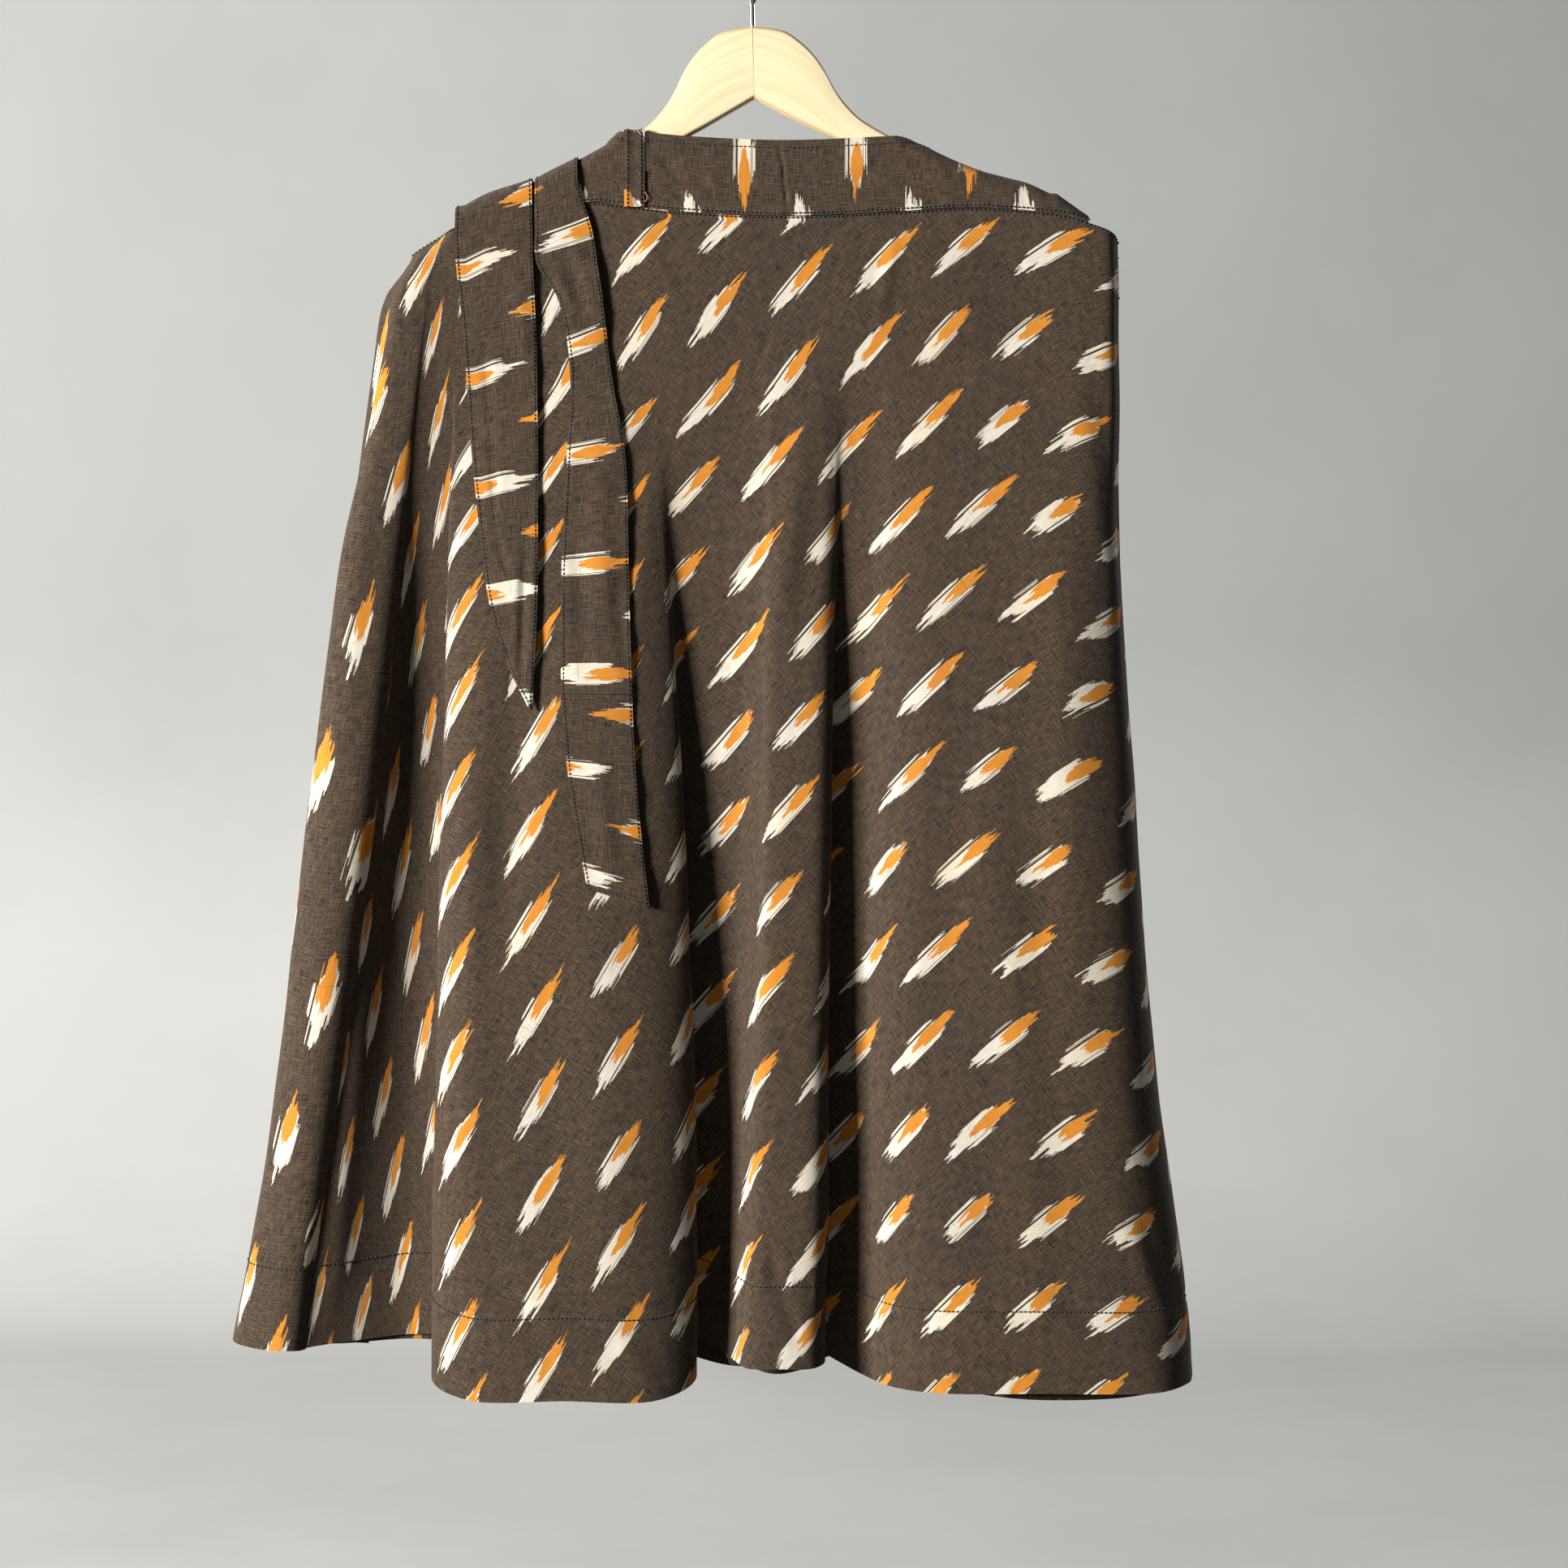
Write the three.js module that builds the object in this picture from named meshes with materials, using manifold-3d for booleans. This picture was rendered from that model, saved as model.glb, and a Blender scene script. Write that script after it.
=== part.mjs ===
import * as THREE from 'three'
import { mergeVertices } from 'three/addons/utils/BufferGeometryUtils.js'
import Module from 'manifold-3d'

// A flared wrap skirt of ikat cotton, hung by its waist on a wooden hanger. Millimetres, +Z up,
// the front of the skirt towards -Y. The origin is the inside top of the wire hook, where a rail
// carries it. Heights are given as "down", the distance below the rail.

const clothThickness = 1.2
const bandThickness = 2
const tieThickness = 1.5
const seamGap = 0.3
const bandSeamGap = 0.6

const hangerTilt = THREE.MathUtils.degToRad(1.5)
const hangerDepth = 10
const hangerRounding = 3
const hangerSpan = 204
const hookWire = 1.9
const hookRadius = 18
const shankEnd = 86
const clothShift = 2.6

const bandHeight = 51
const bandTop = 134.6
const bandFront = -8.5
const bandFlapBack = 6.9
const bandEnds = { left: -199, right: 226 }
const bandStands = 89
const bandBends = 106
const bendDrop = 4
const cornerFall = 0.72
const bandBend = { front: bandFront, back: bandFlapBack, height: 7.9 }
const panelFront = -8.1
const backStart = 250

// The outer wrap closes over its own top at the left shoulder: how high that roof is, where it
// starts and where it is closed, the y it closes to and how thin it gets.
const roof = { height: 14, opens: 203, closed: 212, middle: 1.5, thin: 0.16, slope: 0.66 }
// How far the hidden upper edges stay below the hanger's arm and below the front band's top.
const underTop = { belowBand: 16, belowArm: 7, roofAcross: -202, roofDown: 197.5 }
const backTop = { belowBand: 2, belowArm: 4.5, cornerAcross: -234, cornerDown: 221, slope: 0.62 }

// Depths at which the fold tables give their places, and the depth where the folds are full.
const levels = [200, 600, 960]
const fullDepth = levels[2]
const growthPower = 1.7

// The section of a fold: how far in from its edges it rounds over, how far forward it stands at
// its edges and its rounding, as shares of its width and depth, and its slope where it starts.
const foldSection = { round: 0.14, edgeOut: 0.5, roundOut: 0.9, slope: -4 }

// Columns and rows of the walls: columns for each turn of the outer wrap, and the row parts near
// its top, where it bends most.
const outerColumnsPerTurn = 3
const outerRows = [0, 0.005, 0.018]
const outerRowStart = 0.05
const panelRows = 12
const underColumns = 36
const backColumns = 44
const backBandRows = 3
const bandRows = 13
const tieColumns = 4
const tieRows = 14
const tieEndRowCount = 5

// The hanger's arm from the middle outwards: its upper and lower edge.
const armRows = [
  { out: 0, top: 61, under: 110 },
  { out: 21, top: 64.7, under: 121.5 },
  { out: 33, top: 73, under: 128 },
  { out: 41.5, top: 82, under: 132.3 },
  { out: 48, top: 92, under: 135.7 },
  { out: 54, top: 104, under: 138.8 },
  { out: 61, top: 114.6, under: 142.4 },
  { out: 72, top: 126, under: 148 },
  { out: 96, top: 140.5, under: 160 },
  { out: 147, top: 165.5, under: 186 },
  { out: 181, top: 176, under: 197 },
  { out: 198, top: 184, under: 202 },
]

// The seam under the front waistband, and past its ends the line where the cloth turns back.
const seamRows = [
  { across: -234, down: 219 },
  { across: -230, down: 215.5 },
  { across: -202, down: 197.5 },
  { across: -180, down: 191 },
  { across: -150, down: 187 },
  { across: -110, down: 181 },
  { across: -88, down: 183 },
  { across: -47, down: 187.4 },
  { across: 21, down: 190.2 },
  { across: 95, down: 187.4 },
  { across: 144, down: 184.7 },
  { across: 181, down: 186.3 },
  { across: 213, down: 190.2 },
  { across: 228, down: 195 },
  { across: 243, down: 201 },
  { across: 247, down: 207 },
]

// The seam under the back waistband.
const backSeamRows = [
  { across: -216, down: 247 },
  { across: -150, down: 222 },
  { across: -90, down: 195 },
  { across: 0, down: 188 },
  { across: 90, down: 193 },
  { across: 150, down: 210 },
  { across: 246, down: 246 },
]

// The outline seen from the front: the left and right side folds.
const sideRows = [
  { down: 190, left: -227, right: 246 },
  { down: 216, left: -231, right: 246.5 },
  { down: 243, left: -243.5, right: 247 },
  { down: 282, left: -251, right: 247 },
  { down: 384, left: -266, right: 247 },
  { down: 455, left: -277, right: 250.5 },
  { down: 565, left: -291, right: 257 },
  { down: 675, left: -306, right: 264 },
  { down: 785, left: -321, right: 274 },
  { down: 890, left: -340, right: 290 },
  { down: 946, left: -352, right: 296 },
  { down: 980, left: -356, right: 297 },
]

// The hanging folds of the front. left and right are the edges that show, at the three levels.
// tuck is how far the cloth runs back behind that edge at the hem, less than 0 where it slopes
// out of the valley instead. out is how far the crest stands forward, start where the fold
// begins, crest and valley the depth of the hem there.
const frontFolds = [
  {
    name: 'side', left: [-229, -290, -351], right: [-214, -262, -308], tuckLeft: 0, tuckRight: -24,
    out: 13, start: 210, crest: 953, valley: 950,
  },
  {
    name: 'wide', left: [-196, -210, -216], right: [-86, -48, -38], tuckLeft: 11, tuckRight: 7,
    out: 38, start: 300, crest: 993, valley: 949,
  },
  {
    name: 'narrow', left: [4, 3, -12], right: [56, 52, 48], tuckLeft: -12, tuckRight: 8,
    out: 24, start: 270, crest: 967, valley: 955,
  },
  {
    name: 'right', left: [96, 88, 78], right: [246, 257, 296], tuckLeft: -12, tuckRight: 0,
    out: 27, start: 270, crest: 982, valley: 975,
  },
]
const valleyHem = -9
const valleyStart = 300

// The under wrap from its seam at the left to its free edge at the right, at the hem: y and the
// depth of the hem.
const underRows = [
  { top: -214, hem: -340, y: 1, topY: 0.8, down: 949 },
  { top: -209, hem: -331, y: -4, topY: -5.2, down: 951 },
  { top: -190, hem: -290, y: -2.6, topY: -6.6, down: 950 },
  { top: -160, hem: -190, y: -2.4, topY: -6.6, down: 950 },
  { top: -125, hem: -125, y: -13, topY: -6.6, down: 955 },
  { top: -92, hem: -58, y: -2.4, topY: -6.6, down: 951 },
  { top: -4, hem: -30, y: -2.4, topY: -6.6, down: 952 },
  { top: 26, hem: 9, y: -13, topY: -6.6, down: 974 },
  { top: 44, hem: 33, y: -2.4, topY: -6.6, down: 968 },
  { top: 78, hem: 62, y: -2.4, topY: -6.6, down: 958 },
  { top: 132, hem: 114, y: -12, topY: -6.6, down: 977 },
  { top: 170, hem: 172, y: -18, topY: -6.6, down: 987 },
  { top: 205, hem: 240, y: -15, topY: -6.6, down: 988 },
  { top: 214, hem: 284, y: -5, topY: -6.6, down: 983 },
]

// The back panel from its seam at the left to its seam at the right, with its plain folds.
const backRows = [
  { top: -214, hem: -340, y: 2.9, topY: 1.6, down: 949 },
  { top: -210, hem: -328, y: 16, topY: 7.6, down: 951 },
  { top: -196, hem: -290, y: 25, topY: 9.2, down: 957 },
  { top: -150, hem: -222, y: 20, topY: 9.2, down: 953 },
  { top: -100, hem: -148, y: 42, topY: 9.2, down: 972 },
  { top: -55, hem: -82, y: 23, topY: 9.2, down: 956 },
  { top: -5, hem: -8, y: 46, topY: 9.2, down: 976 },
  { top: 45, hem: 60, y: 24, topY: 9.2, down: 957 },
  { top: 100, hem: 126, y: 44, topY: 9.2, down: 975 },
  { top: 150, hem: 188, y: 25, topY: 9.2, down: 962 },
  { top: 205, hem: 246, y: 33, topY: 9.2, down: 976 },
  { top: 241, hem: 289, y: 18, topY: 7.6, down: 976 },
  { top: 246, hem: 296, y: 3.8, topY: 2.8, down: 976 },
]

// The outer wrap past the left fold: its stretch on the back, up to its free edge.
const lapRows = [
  { top: -204, hem: -262, y: 33, topY: 11.6, down: 958 },
  { top: -218, hem: -305, y: 38, topY: 11.6, down: 957 },
  { top: -228, hem: -340, y: 25, topY: 8.5, down: 951 },
]
const lapTops = { edge: 246, fold: 219 }

// The two ties that hang over the left arm: their edges down the front.
const tieLeftRows = [
  { down: 186, left: -201.5, right: -149.8 },
  { down: 217, left: -201.5, right: -149.2 },
  { down: 270, left: -196, right: -147 },
  { down: 340, left: -191, right: -145.5 },
  { down: 426, left: -181.5, right: -145 },
  { down: 461, left: -175.5, right: -145.5 },
  { down: 498, left: -163, right: -147 },
  { down: 524, left: -150, right: -148.4 },
]
const tieRightRows = [
  { down: 170, left: -147.8, right: -119 },
  { down: 199, left: -147.8, right: -109.5 },
  { down: 223, left: -146.5, right: -105.5 },
  { down: 247, left: -132, right: -102 },
  { down: 295, left: -124, right: -96.5 },
  { down: 355, left: -126, right: -86.5 },
  { down: 430, left: -129, right: -84 },
  { down: 514, left: -129, right: -81.5 },
]
const tieEndRows = [
  { down: 514.3, left: -129, right: -81.5 },
  { down: 560, left: -125, right: -79 },
  { down: 600, left: -119, right: -75 },
  { down: 644, left: -111, right: -69.5 },
]
const tieEndSlant = 13
const tieBackEnd = 216
const tieFront = -11.1
const tieBack = 11.5
const tieBend = { front: tieFront, back: tieBack, height: 10.5 }
const tieLift = 2.2
const tieBelowBend = 5
const tieBehindBend = 16
const tieBendRows = 8

const loop = { left: -87.5, right: -73.7, bottom: 184.5, thickness: 1.2, inside: 12, rise: 0.6 }

const materials = {
  cloth: new THREE.MeshStandardMaterial({ color: 0x4a4239, roughness: 0.9, metalness: 0 }),
  wood: new THREE.MeshStandardMaterial({ color: 0xe3d6bd, roughness: 0.55, metalness: 0 }),
  steel: new THREE.MeshStandardMaterial({ color: 0xc9ccd0, roughness: 0.2, metalness: 1 }),
}

// Reads a column of a table between its rows, on a smooth curve through them.
function read(rows, key, at, column) {
  const last = rows.length - 1
  const place = THREE.MathUtils.clamp(at, rows[0][key], rows[last][key])
  let i = 0
  while (i < last - 1 && rows[i + 1][key] < place) {
    i += 1
  }
  const slopeAt = (k) => {
    const before = rows[Math.max(k - 1, 0)]
    const after = rows[Math.min(k + 1, last)]
    return (after[column] - before[column]) / (after[key] - before[key])
  }
  const span = rows[i + 1][key] - rows[i][key]
  const t = (place - rows[i][key]) / span
  const start = (2 * t ** 3 - 3 * t ** 2 + 1) * rows[i][column]
  const end = (3 * t ** 2 - 2 * t ** 3) * rows[i + 1][column]
  const leaving = (t ** 3 - 2 * t ** 2 + t) * span * slopeAt(i)
  const arriving = (t ** 3 - t ** 2) * span * slopeAt(i + 1)
  return start + end + leaving + arriving
}

// The value at a depth of something given at the three levels.
function atLevel(values, down) {
  const [high, middle, low] = levels
  const [a, b, c] = values
  const first = ((down - middle) * (down - low)) / ((high - middle) * (high - low))
  const second = ((down - high) * (down - low)) / ((middle - high) * (middle - low))
  const third = ((down - high) * (down - middle)) / ((low - high) * (low - middle))
  return a * first + b * second + c * third
}

// How far a fold has grown at a depth: 0 where it starts, 1 at the hem.
function growth(down, start) {
  const part = THREE.MathUtils.clamp((down - start) / (fullDepth - start), 0, 1)
  return 1 - (1 - part) ** growthPower
}

// The turns of one front fold at a depth, from the valley on its left to the one on its right.
// Each is x, y and the depth of the hem there.
function foldTurns(fold, down) {
  const grown = growth(down, fold.start)
  const valley = THREE.MathUtils.lerp(panelFront, valleyHem, growth(down, valleyStart))
  const left = atLevel(fold.left, down)
  const right = atLevel(fold.right, down)
  const width = right - left
  const out = fold.out * grown
  const halfHem = (fold.crest + fold.valley) / 2
  const edgeY = valley - foldSection.edgeOut * out
  const roundY = valley - foldSection.roundOut * out
  const rounding = foldSection.round * width
  const tuckLeft = THREE.MathUtils.lerp(foldSection.slope, fold.tuckLeft, grown)
  const tuckRight = THREE.MathUtils.lerp(foldSection.slope, fold.tuckRight, grown)
  return [
    [left + tuckLeft, valley, fold.valley],
    [left, edgeY, halfHem],
    [left + rounding, roundY, fold.crest],
    [(left + right) / 2, valley - out, fold.crest],
    [right - rounding, roundY, fold.crest],
    [right, edgeY, halfHem],
    [right - tuckRight, valley, fold.valley],
  ]
}

// How far the outline has spread at a depth: 0 at the waist, 1 where the folds are full.
function spreadAt(side, down) {
  const [waist, full] = [levels[0], fullDepth].map((at) => read(sideRows, 'down', at, side))
  return (read(sideRows, 'down', down, side) - waist) / (full - waist)
}

// A row of a plan table at a depth.
function planTurn(row, down, start) {
  const grown = growth(down, start)
  const spread = spreadAt(row.hem < 0 ? 'left' : 'right', down)
  const x = THREE.MathUtils.lerp(row.top, row.hem, spread)
  return [x, THREE.MathUtils.lerp(row.topY, row.y, grown), row.down]
}

// The cloth's line in plan at a depth, as a smooth curve through its turns.
function planCurve(turns) {
  const points = turns.map((turn) => new THREE.Vector3(...turn))
  return new THREE.CatmullRomCurve3(points, false, 'centripetal')
}

function outerPlan(down) {
  const side = {
    left: read(sideRows, 'down', down, 'left'),
    right: read(sideRows, 'down', down, 'right'),
  }
  const [sideFold, wide, narrow, right] = frontFolds.map((fold) => foldTurns(fold, down))
  const lap = lapRows.map((row) => planTurn(row, down, backStart))
  const shift = side.left - atLevel(frontFolds[0].left, down)
  const lapShift = lap.map(([x, y, hem]) => [x + shift, y, hem])
  const leftFold = [side.left, 1.5 + 3 * growth(down, levels[0]), 948]
  const crest = [side.left + 5, sideFold[2][1] * 0.85, 950]
  const rightEdge = [side.right, 1.2, 975]
  const nearRight = [side.right - 5, right[5][1] * 0.75, 977]
  return planCurve([
    ...lapShift, leftFold, crest, ...sideFold.slice(3), ...wide, ...narrow, ...right.slice(0, 5),
    nearRight, rightEdge,
  ])
}

function underPlan(down) {
  return planCurve(underRows.map((row) => planTurn(row, down, valleyStart)))
}

function backPlan(down) {
  return planCurve(backRows.map((row) => planTurn(row, down, backStart)))
}

// How far forward the outer wrap reaches at a place seen from the front.
function frontAt(x, down) {
  const points = outerPlan(down).getPoints(240)
  let front = panelFront
  for (let i = 0; i < points.length - 1; i += 1) {
    const [a, b] = [points[i], points[i + 1]]
    const inside = (a.x - x) * (b.x - x) <= 0 && a.x !== b.x
    if (inside) {
      front = Math.min(front, a.y + ((b.y - a.y) * (x - a.x)) / (b.x - a.x))
    }
  }
  return front
}

// The depth of the hanger's upper edge under a point of the cloth, with the hanger's tilt. Past
// the right arm's end the cloth falls off towards its corner.
function armTop(x) {
  let down = levels[0]
  for (let pass = 0; pass < 3; pass += 1) {
    const out = (x + clothShift) * Math.cos(hangerTilt) - down * Math.sin(hangerTilt)
    const top = read(armRows, 'out', Math.abs(out), 'top')
    down = top * Math.cos(hangerTilt) - out * Math.sin(hangerTilt)
  }
  return down + cornerFall * Math.max(0, x - hangerSpan)
}

// Closes a grid of points into a wall, half its thickness to each side, with rims all round.
// Columns run to the right and rows run down, as seen from the side that is outwards.
function wall(grid, thickness) {
  const columns = grid.length
  const rows = grid[0].length
  const positions = []
  const normalAt = (i, j) => {
    const across = new THREE.Vector3()
    const along = new THREE.Vector3()
    across.subVectors(grid[Math.min(i + 1, columns - 1)][j], grid[Math.max(i - 1, 0)][j])
    along.subVectors(grid[i][Math.min(j + 1, rows - 1)], grid[i][Math.max(j - 1, 0)])
    return along.cross(across).normalize()
  }
  for (const side of [1, -1]) {
    for (let i = 0; i < columns; i += 1) {
      for (let j = 0; j < rows; j += 1) {
        const point = grid[i][j].clone().addScaledVector(normalAt(i, j), (side * thickness) / 2)
        positions.push(point.x, point.y, point.z)
      }
    }
  }
  const outer = (i, j) => i * rows + j
  const inner = (i, j) => columns * rows + i * rows + j
  const index = []
  for (let i = 0; i < columns - 1; i += 1) {
    for (let j = 0; j < rows - 1; j += 1) {
      index.push(outer(i, j), outer(i, j + 1), outer(i + 1, j))
      index.push(outer(i + 1, j), outer(i, j + 1), outer(i + 1, j + 1))
      index.push(inner(i, j), inner(i + 1, j), inner(i, j + 1))
      index.push(inner(i + 1, j), inner(i + 1, j + 1), inner(i, j + 1))
    }
  }
  const border = []
  for (let j = 0; j < rows - 1; j += 1) {
    border.push([0, j])
  }
  for (let i = 0; i < columns - 1; i += 1) {
    border.push([i, rows - 1])
  }
  for (let j = rows - 1; j > 0; j -= 1) {
    border.push([columns - 1, j])
  }
  for (let i = columns - 1; i > 0; i -= 1) {
    border.push([i, 0])
  }
  border.forEach((from, k) => {
    const to = border[(k + 1) % border.length]
    index.push(outer(...to), outer(...from), inner(...from))
    index.push(outer(...to), inner(...from), inner(...to))
  })
  const geometry = new THREE.BufferGeometry()
  geometry.setAttribute('position', new THREE.Float32BufferAttribute(positions, 3))
  geometry.setIndex(index)
  geometry.computeVertexNormals()
  return geometry
}

function steps(from, to, count) {
  return Array.from({ length: count + 1 }, (_, i) => THREE.MathUtils.lerp(from, to, i / count))
}

// The grid of a hanging panel: each column follows one place of the plan curve down to the hem.
// topOf gives the depth of the column's upper edge, from its place along the curve.
function hangingGrid(plan, columns, rows, topOf) {
  const hemCurve = plan(fullDepth)
  return columns.map((t) => {
    const hem = hemCurve.getPoint(t).z
    const top = topOf(t)
    return rows.map((part) => {
      const down = THREE.MathUtils.lerp(top, hem, part)
      const place = plan(down).getPoint(t)
      return new THREE.Vector3(place.x, place.y, -down)
    })
  })
}

// Near the left shoulder the front of the outer wrap closes over its own top like a roof.
function closeShoulder(grid) {
  for (const column of grid) {
    const top = -column[0].z
    const onBack = THREE.MathUtils.smoothstep(top, lapTops.fold + 1, lapTops.fold + 9)
    const nearFold = THREE.MathUtils.smoothstep(-column[0].x, roof.opens, roof.closed)
    const reach = nearFold * (1 - onBack)
    for (const point of column) {
      const below = THREE.MathUtils.clamp((-point.z - top) / roof.height, 0, 1)
      const open = Math.max(Math.sqrt(1 - (1 - below) ** 2), roof.thin)
      const away = point.y - roof.middle
      const closed = Math.abs(away) > clothThickness ? roof.middle + away * open : roof.middle
      point.y = THREE.MathUtils.lerp(point.y, closed, reach)
    }
  }
  return grid
}

function outerWrap() {
  const turnCount = outerPlan(fullDepth).points.length - 1
  const columns = steps(0, 1, turnCount * outerColumnsPerTurn)
  const foldPlace = lapRows.length / turnCount
  const topOf = (t) => {
    if (t < foldPlace) {
      return THREE.MathUtils.lerp(lapTops.edge, lapTops.fold, t / foldPlace)
    }
    const x = outerPlan(levels[0]).getPoint(t).x
    return read(seamRows, 'across', x, 'down') + bandSeamGap
  }
  const rows = [...outerRows, ...steps(outerRowStart, 1, panelRows)]
  const grid = hangingGrid(outerPlan, columns, rows, topOf)
  return wall(closeShoulder(grid), clothThickness)
}

function underWrap() {
  const topOf = (t) => {
    const x = underPlan(levels[0]).getPoint(t).x
    const underRoof = underTop.roofDown + roof.height - roof.slope * (x - underTop.roofAcross)
    return Math.max(bandTop + underTop.belowBand, armTop(x) + underTop.belowArm, underRoof)
  }
  const columns = steps(0, 1, underColumns)
  return wall(hangingGrid(underPlan, columns, steps(0, 1, panelRows), topOf), clothThickness)
}

// The depth of the back waistband's seam at a place along the back.
function backSeam(t) {
  let down = levels[0]
  for (let pass = 0; pass < 4; pass += 1) {
    down = read(backSeamRows, 'across', backPlan(down).getPoint(t).x, 'down')
  }
  return down
}

function backPanel() {
  const columns = steps(0, 1, backColumns)
  const topOf = (t) => backSeam(t) + seamGap
  const grid = hangingGrid(backPlan, columns, steps(0, 1, panelRows), topOf)
  return wall(grid.reverse(), clothThickness)
}

// The back waistband follows the back panel's line up to its own top edge.
function backBand() {
  const grid = steps(0, 1, backColumns).map((t) => {
    const x = backPlan(levels[0]).getPoint(t).x
    const corner = backTop.cornerDown - backTop.slope * Math.abs(x - backTop.cornerAcross)
    const top = Math.max(bandTop + backTop.belowBand, armTop(x) + backTop.belowArm, corner)
    return steps(top, backSeam(t), backBandRows).map((down) => {
      const place = backPlan(down).getPoint(t)
      return new THREE.Vector3(place.x, place.y, -down)
    })
  })
  return wall(grid.reverse(), bandThickness)
}

// Where a strip's bend over the arm has its middle: below the arm's upper edge at the sides,
// and above the strip where the waistband stands free of the arm.
function bendCentre(x) {
  const over = THREE.MathUtils.smoothstep(Math.abs(x), bandStands, bandBends)
  return THREE.MathUtils.lerp(bandTop - 2, armTop(x) + bendDrop, over)
}

// A point of a strip that goes up the front, over the hanger's arm and down behind it, at a
// length from its foot. front and back are its two legs, height how far the bend rises.
function overArm(x, length, foot, { front, back, height }) {
  const radius = (back - front) / 2
  const centre = bendCentre(x)
  const leg = foot - centre
  const arc = arcLength({ front, back, height })
  if (length <= leg) {
    return new THREE.Vector3(x, front, length - foot)
  }
  if (length <= leg + arc) {
    const turn = (Math.PI * (length - leg)) / arc
    const y = (back + front) / 2 - radius * Math.cos(turn)
    return new THREE.Vector3(x, y, height * Math.sin(turn) - centre)
  }
  return new THREE.Vector3(x, back, leg + arc - length - centre)
}

function arcLength({ front, back, height }) {
  return (Math.PI * ((back - front) / 2 + height)) / 2
}

function frontBand() {
  const columns = [
    ...steps(bandEnds.left, -108, 9), ...steps(-104, -80, 6), ...steps(-70, 70, 8),
    ...steps(80, 104, 6), ...steps(108, bandEnds.right, 12),
  ]
  const grid = columns.map((x) => {
    const seam = read(seamRows, 'across', x, 'down')
    const bent = THREE.MathUtils.smoothstep(Math.abs(x), bandStands, bandBends)
    const height = Math.min(bandHeight, THREE.MathUtils.lerp(seam - bandTop, bandHeight, bent))
    return steps(height, 0, bandRows).map((length) => overArm(x, length, seam, bandBend))
  })
  return wall(grid, bandThickness)
}

function beltLoop() {
  const outside = bandFront - bandThickness / 2 - seamGap - loop.thickness / 2
  const inside = bandFront + bandThickness / 2 + seamGap + loop.thickness / 2
  const top = bandTop - seamGap - loop.thickness / 2
  const radius = (inside - outside) / 2
  const path = [[inside, top + loop.inside], [inside, top + 1]]
  for (const turn of steps(0, Math.PI, 6)) {
    const y = (inside + outside) / 2 + radius * Math.cos(turn)
    path.push([y, top - radius * loop.rise * Math.sin(turn)])
  }
  path.push([outside, top + 12], [outside, top + 30], [outside, loop.bottom])
  const grid = steps(loop.left, loop.right, 2).map((x) =>
    path.map(([y, down]) => new THREE.Vector3(x, y, -down))
  )
  return wall(grid, loop.thickness)
}

// A tie lies on the outer wrap below the band: its points are the panel's, moved out.
function onPanel(x, down) {
  return Math.min(tieFront, frontAt(x, down) - tieLift)
}

// The stretch of a tie down the front. topOf gives the depth where each column starts, and slant
// how much deeper the cut end lies at its right corner.
function tieDown(rows, rowCount, topOf, slant) {
  const last = rows[rows.length - 1].down
  return steps(0, 1, tieColumns).map((part) => {
    const first = topOf(part)
    return steps(0, 1, rowCount).map((along) => {
      const down = THREE.MathUtils.lerp(first, last, along)
      const left = read(rows, 'down', down, 'left')
      const right = read(rows, 'down', down, 'right')
      const x = THREE.MathUtils.lerp(left, right, part)
      const place = down + slant * part * along
      return new THREE.Vector3(x, onPanel(x, place), -place)
    })
  })
}

// A whole tie: its foot on the back band, up, over the arm and down the front.
function tie(rows) {
  const across = (part) => THREE.MathUtils.lerp(rows[0].left, rows[0].right, part)
  const topOf = (part) => bendCentre(across(part)) + tieBelowBend
  const front = tieDown(rows, tieRows, topOf, 0)
  const arc = arcLength(tieBend)
  const grid = front.map((column, i) => {
    const x = across(i / (front.length - 1))
    const centre = bendCentre(x)
    const behind = [arc + tieBackEnd - centre, arc + tieBehindBend]
    const lengths = [...behind, ...steps(arc, 0, tieBendRows)]
    return [...lengths.map((length) => overArm(x, length, centre, tieBend)), ...column]
  })
  return wall(grid, tieThickness)
}

function tieEnd() {
  const first = tieEndRows[0].down
  return wall(tieDown(tieEndRows, tieEndRowCount, () => first, tieEndSlant), tieThickness)
}

// Turns a closed geometry into a solid for cutting, and back.
const wasm = await Module()
wasm.setup()

function toSolid(geometry) {
  const bare = geometry.clone()
  bare.deleteAttribute('normal')
  bare.deleteAttribute('uv')
  const merged = mergeVertices(bare, 0.0001)
  return new wasm.Manifold(new wasm.Mesh({
    numProp: 3,
    vertProperties: new Float32Array(merged.attributes.position.array),
    triVerts: new Uint32Array(merged.index.array),
  }))
}

function toGeometry(solid) {
  const mesh = solid.getMesh()
  const geometry = new THREE.BufferGeometry()
  geometry.setAttribute('position', new THREE.Float32BufferAttribute(mesh.vertProperties, 3))
  geometry.setIndex(Array.from(mesh.triVerts))
  geometry.computeVertexNormals()
  return geometry
}

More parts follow.
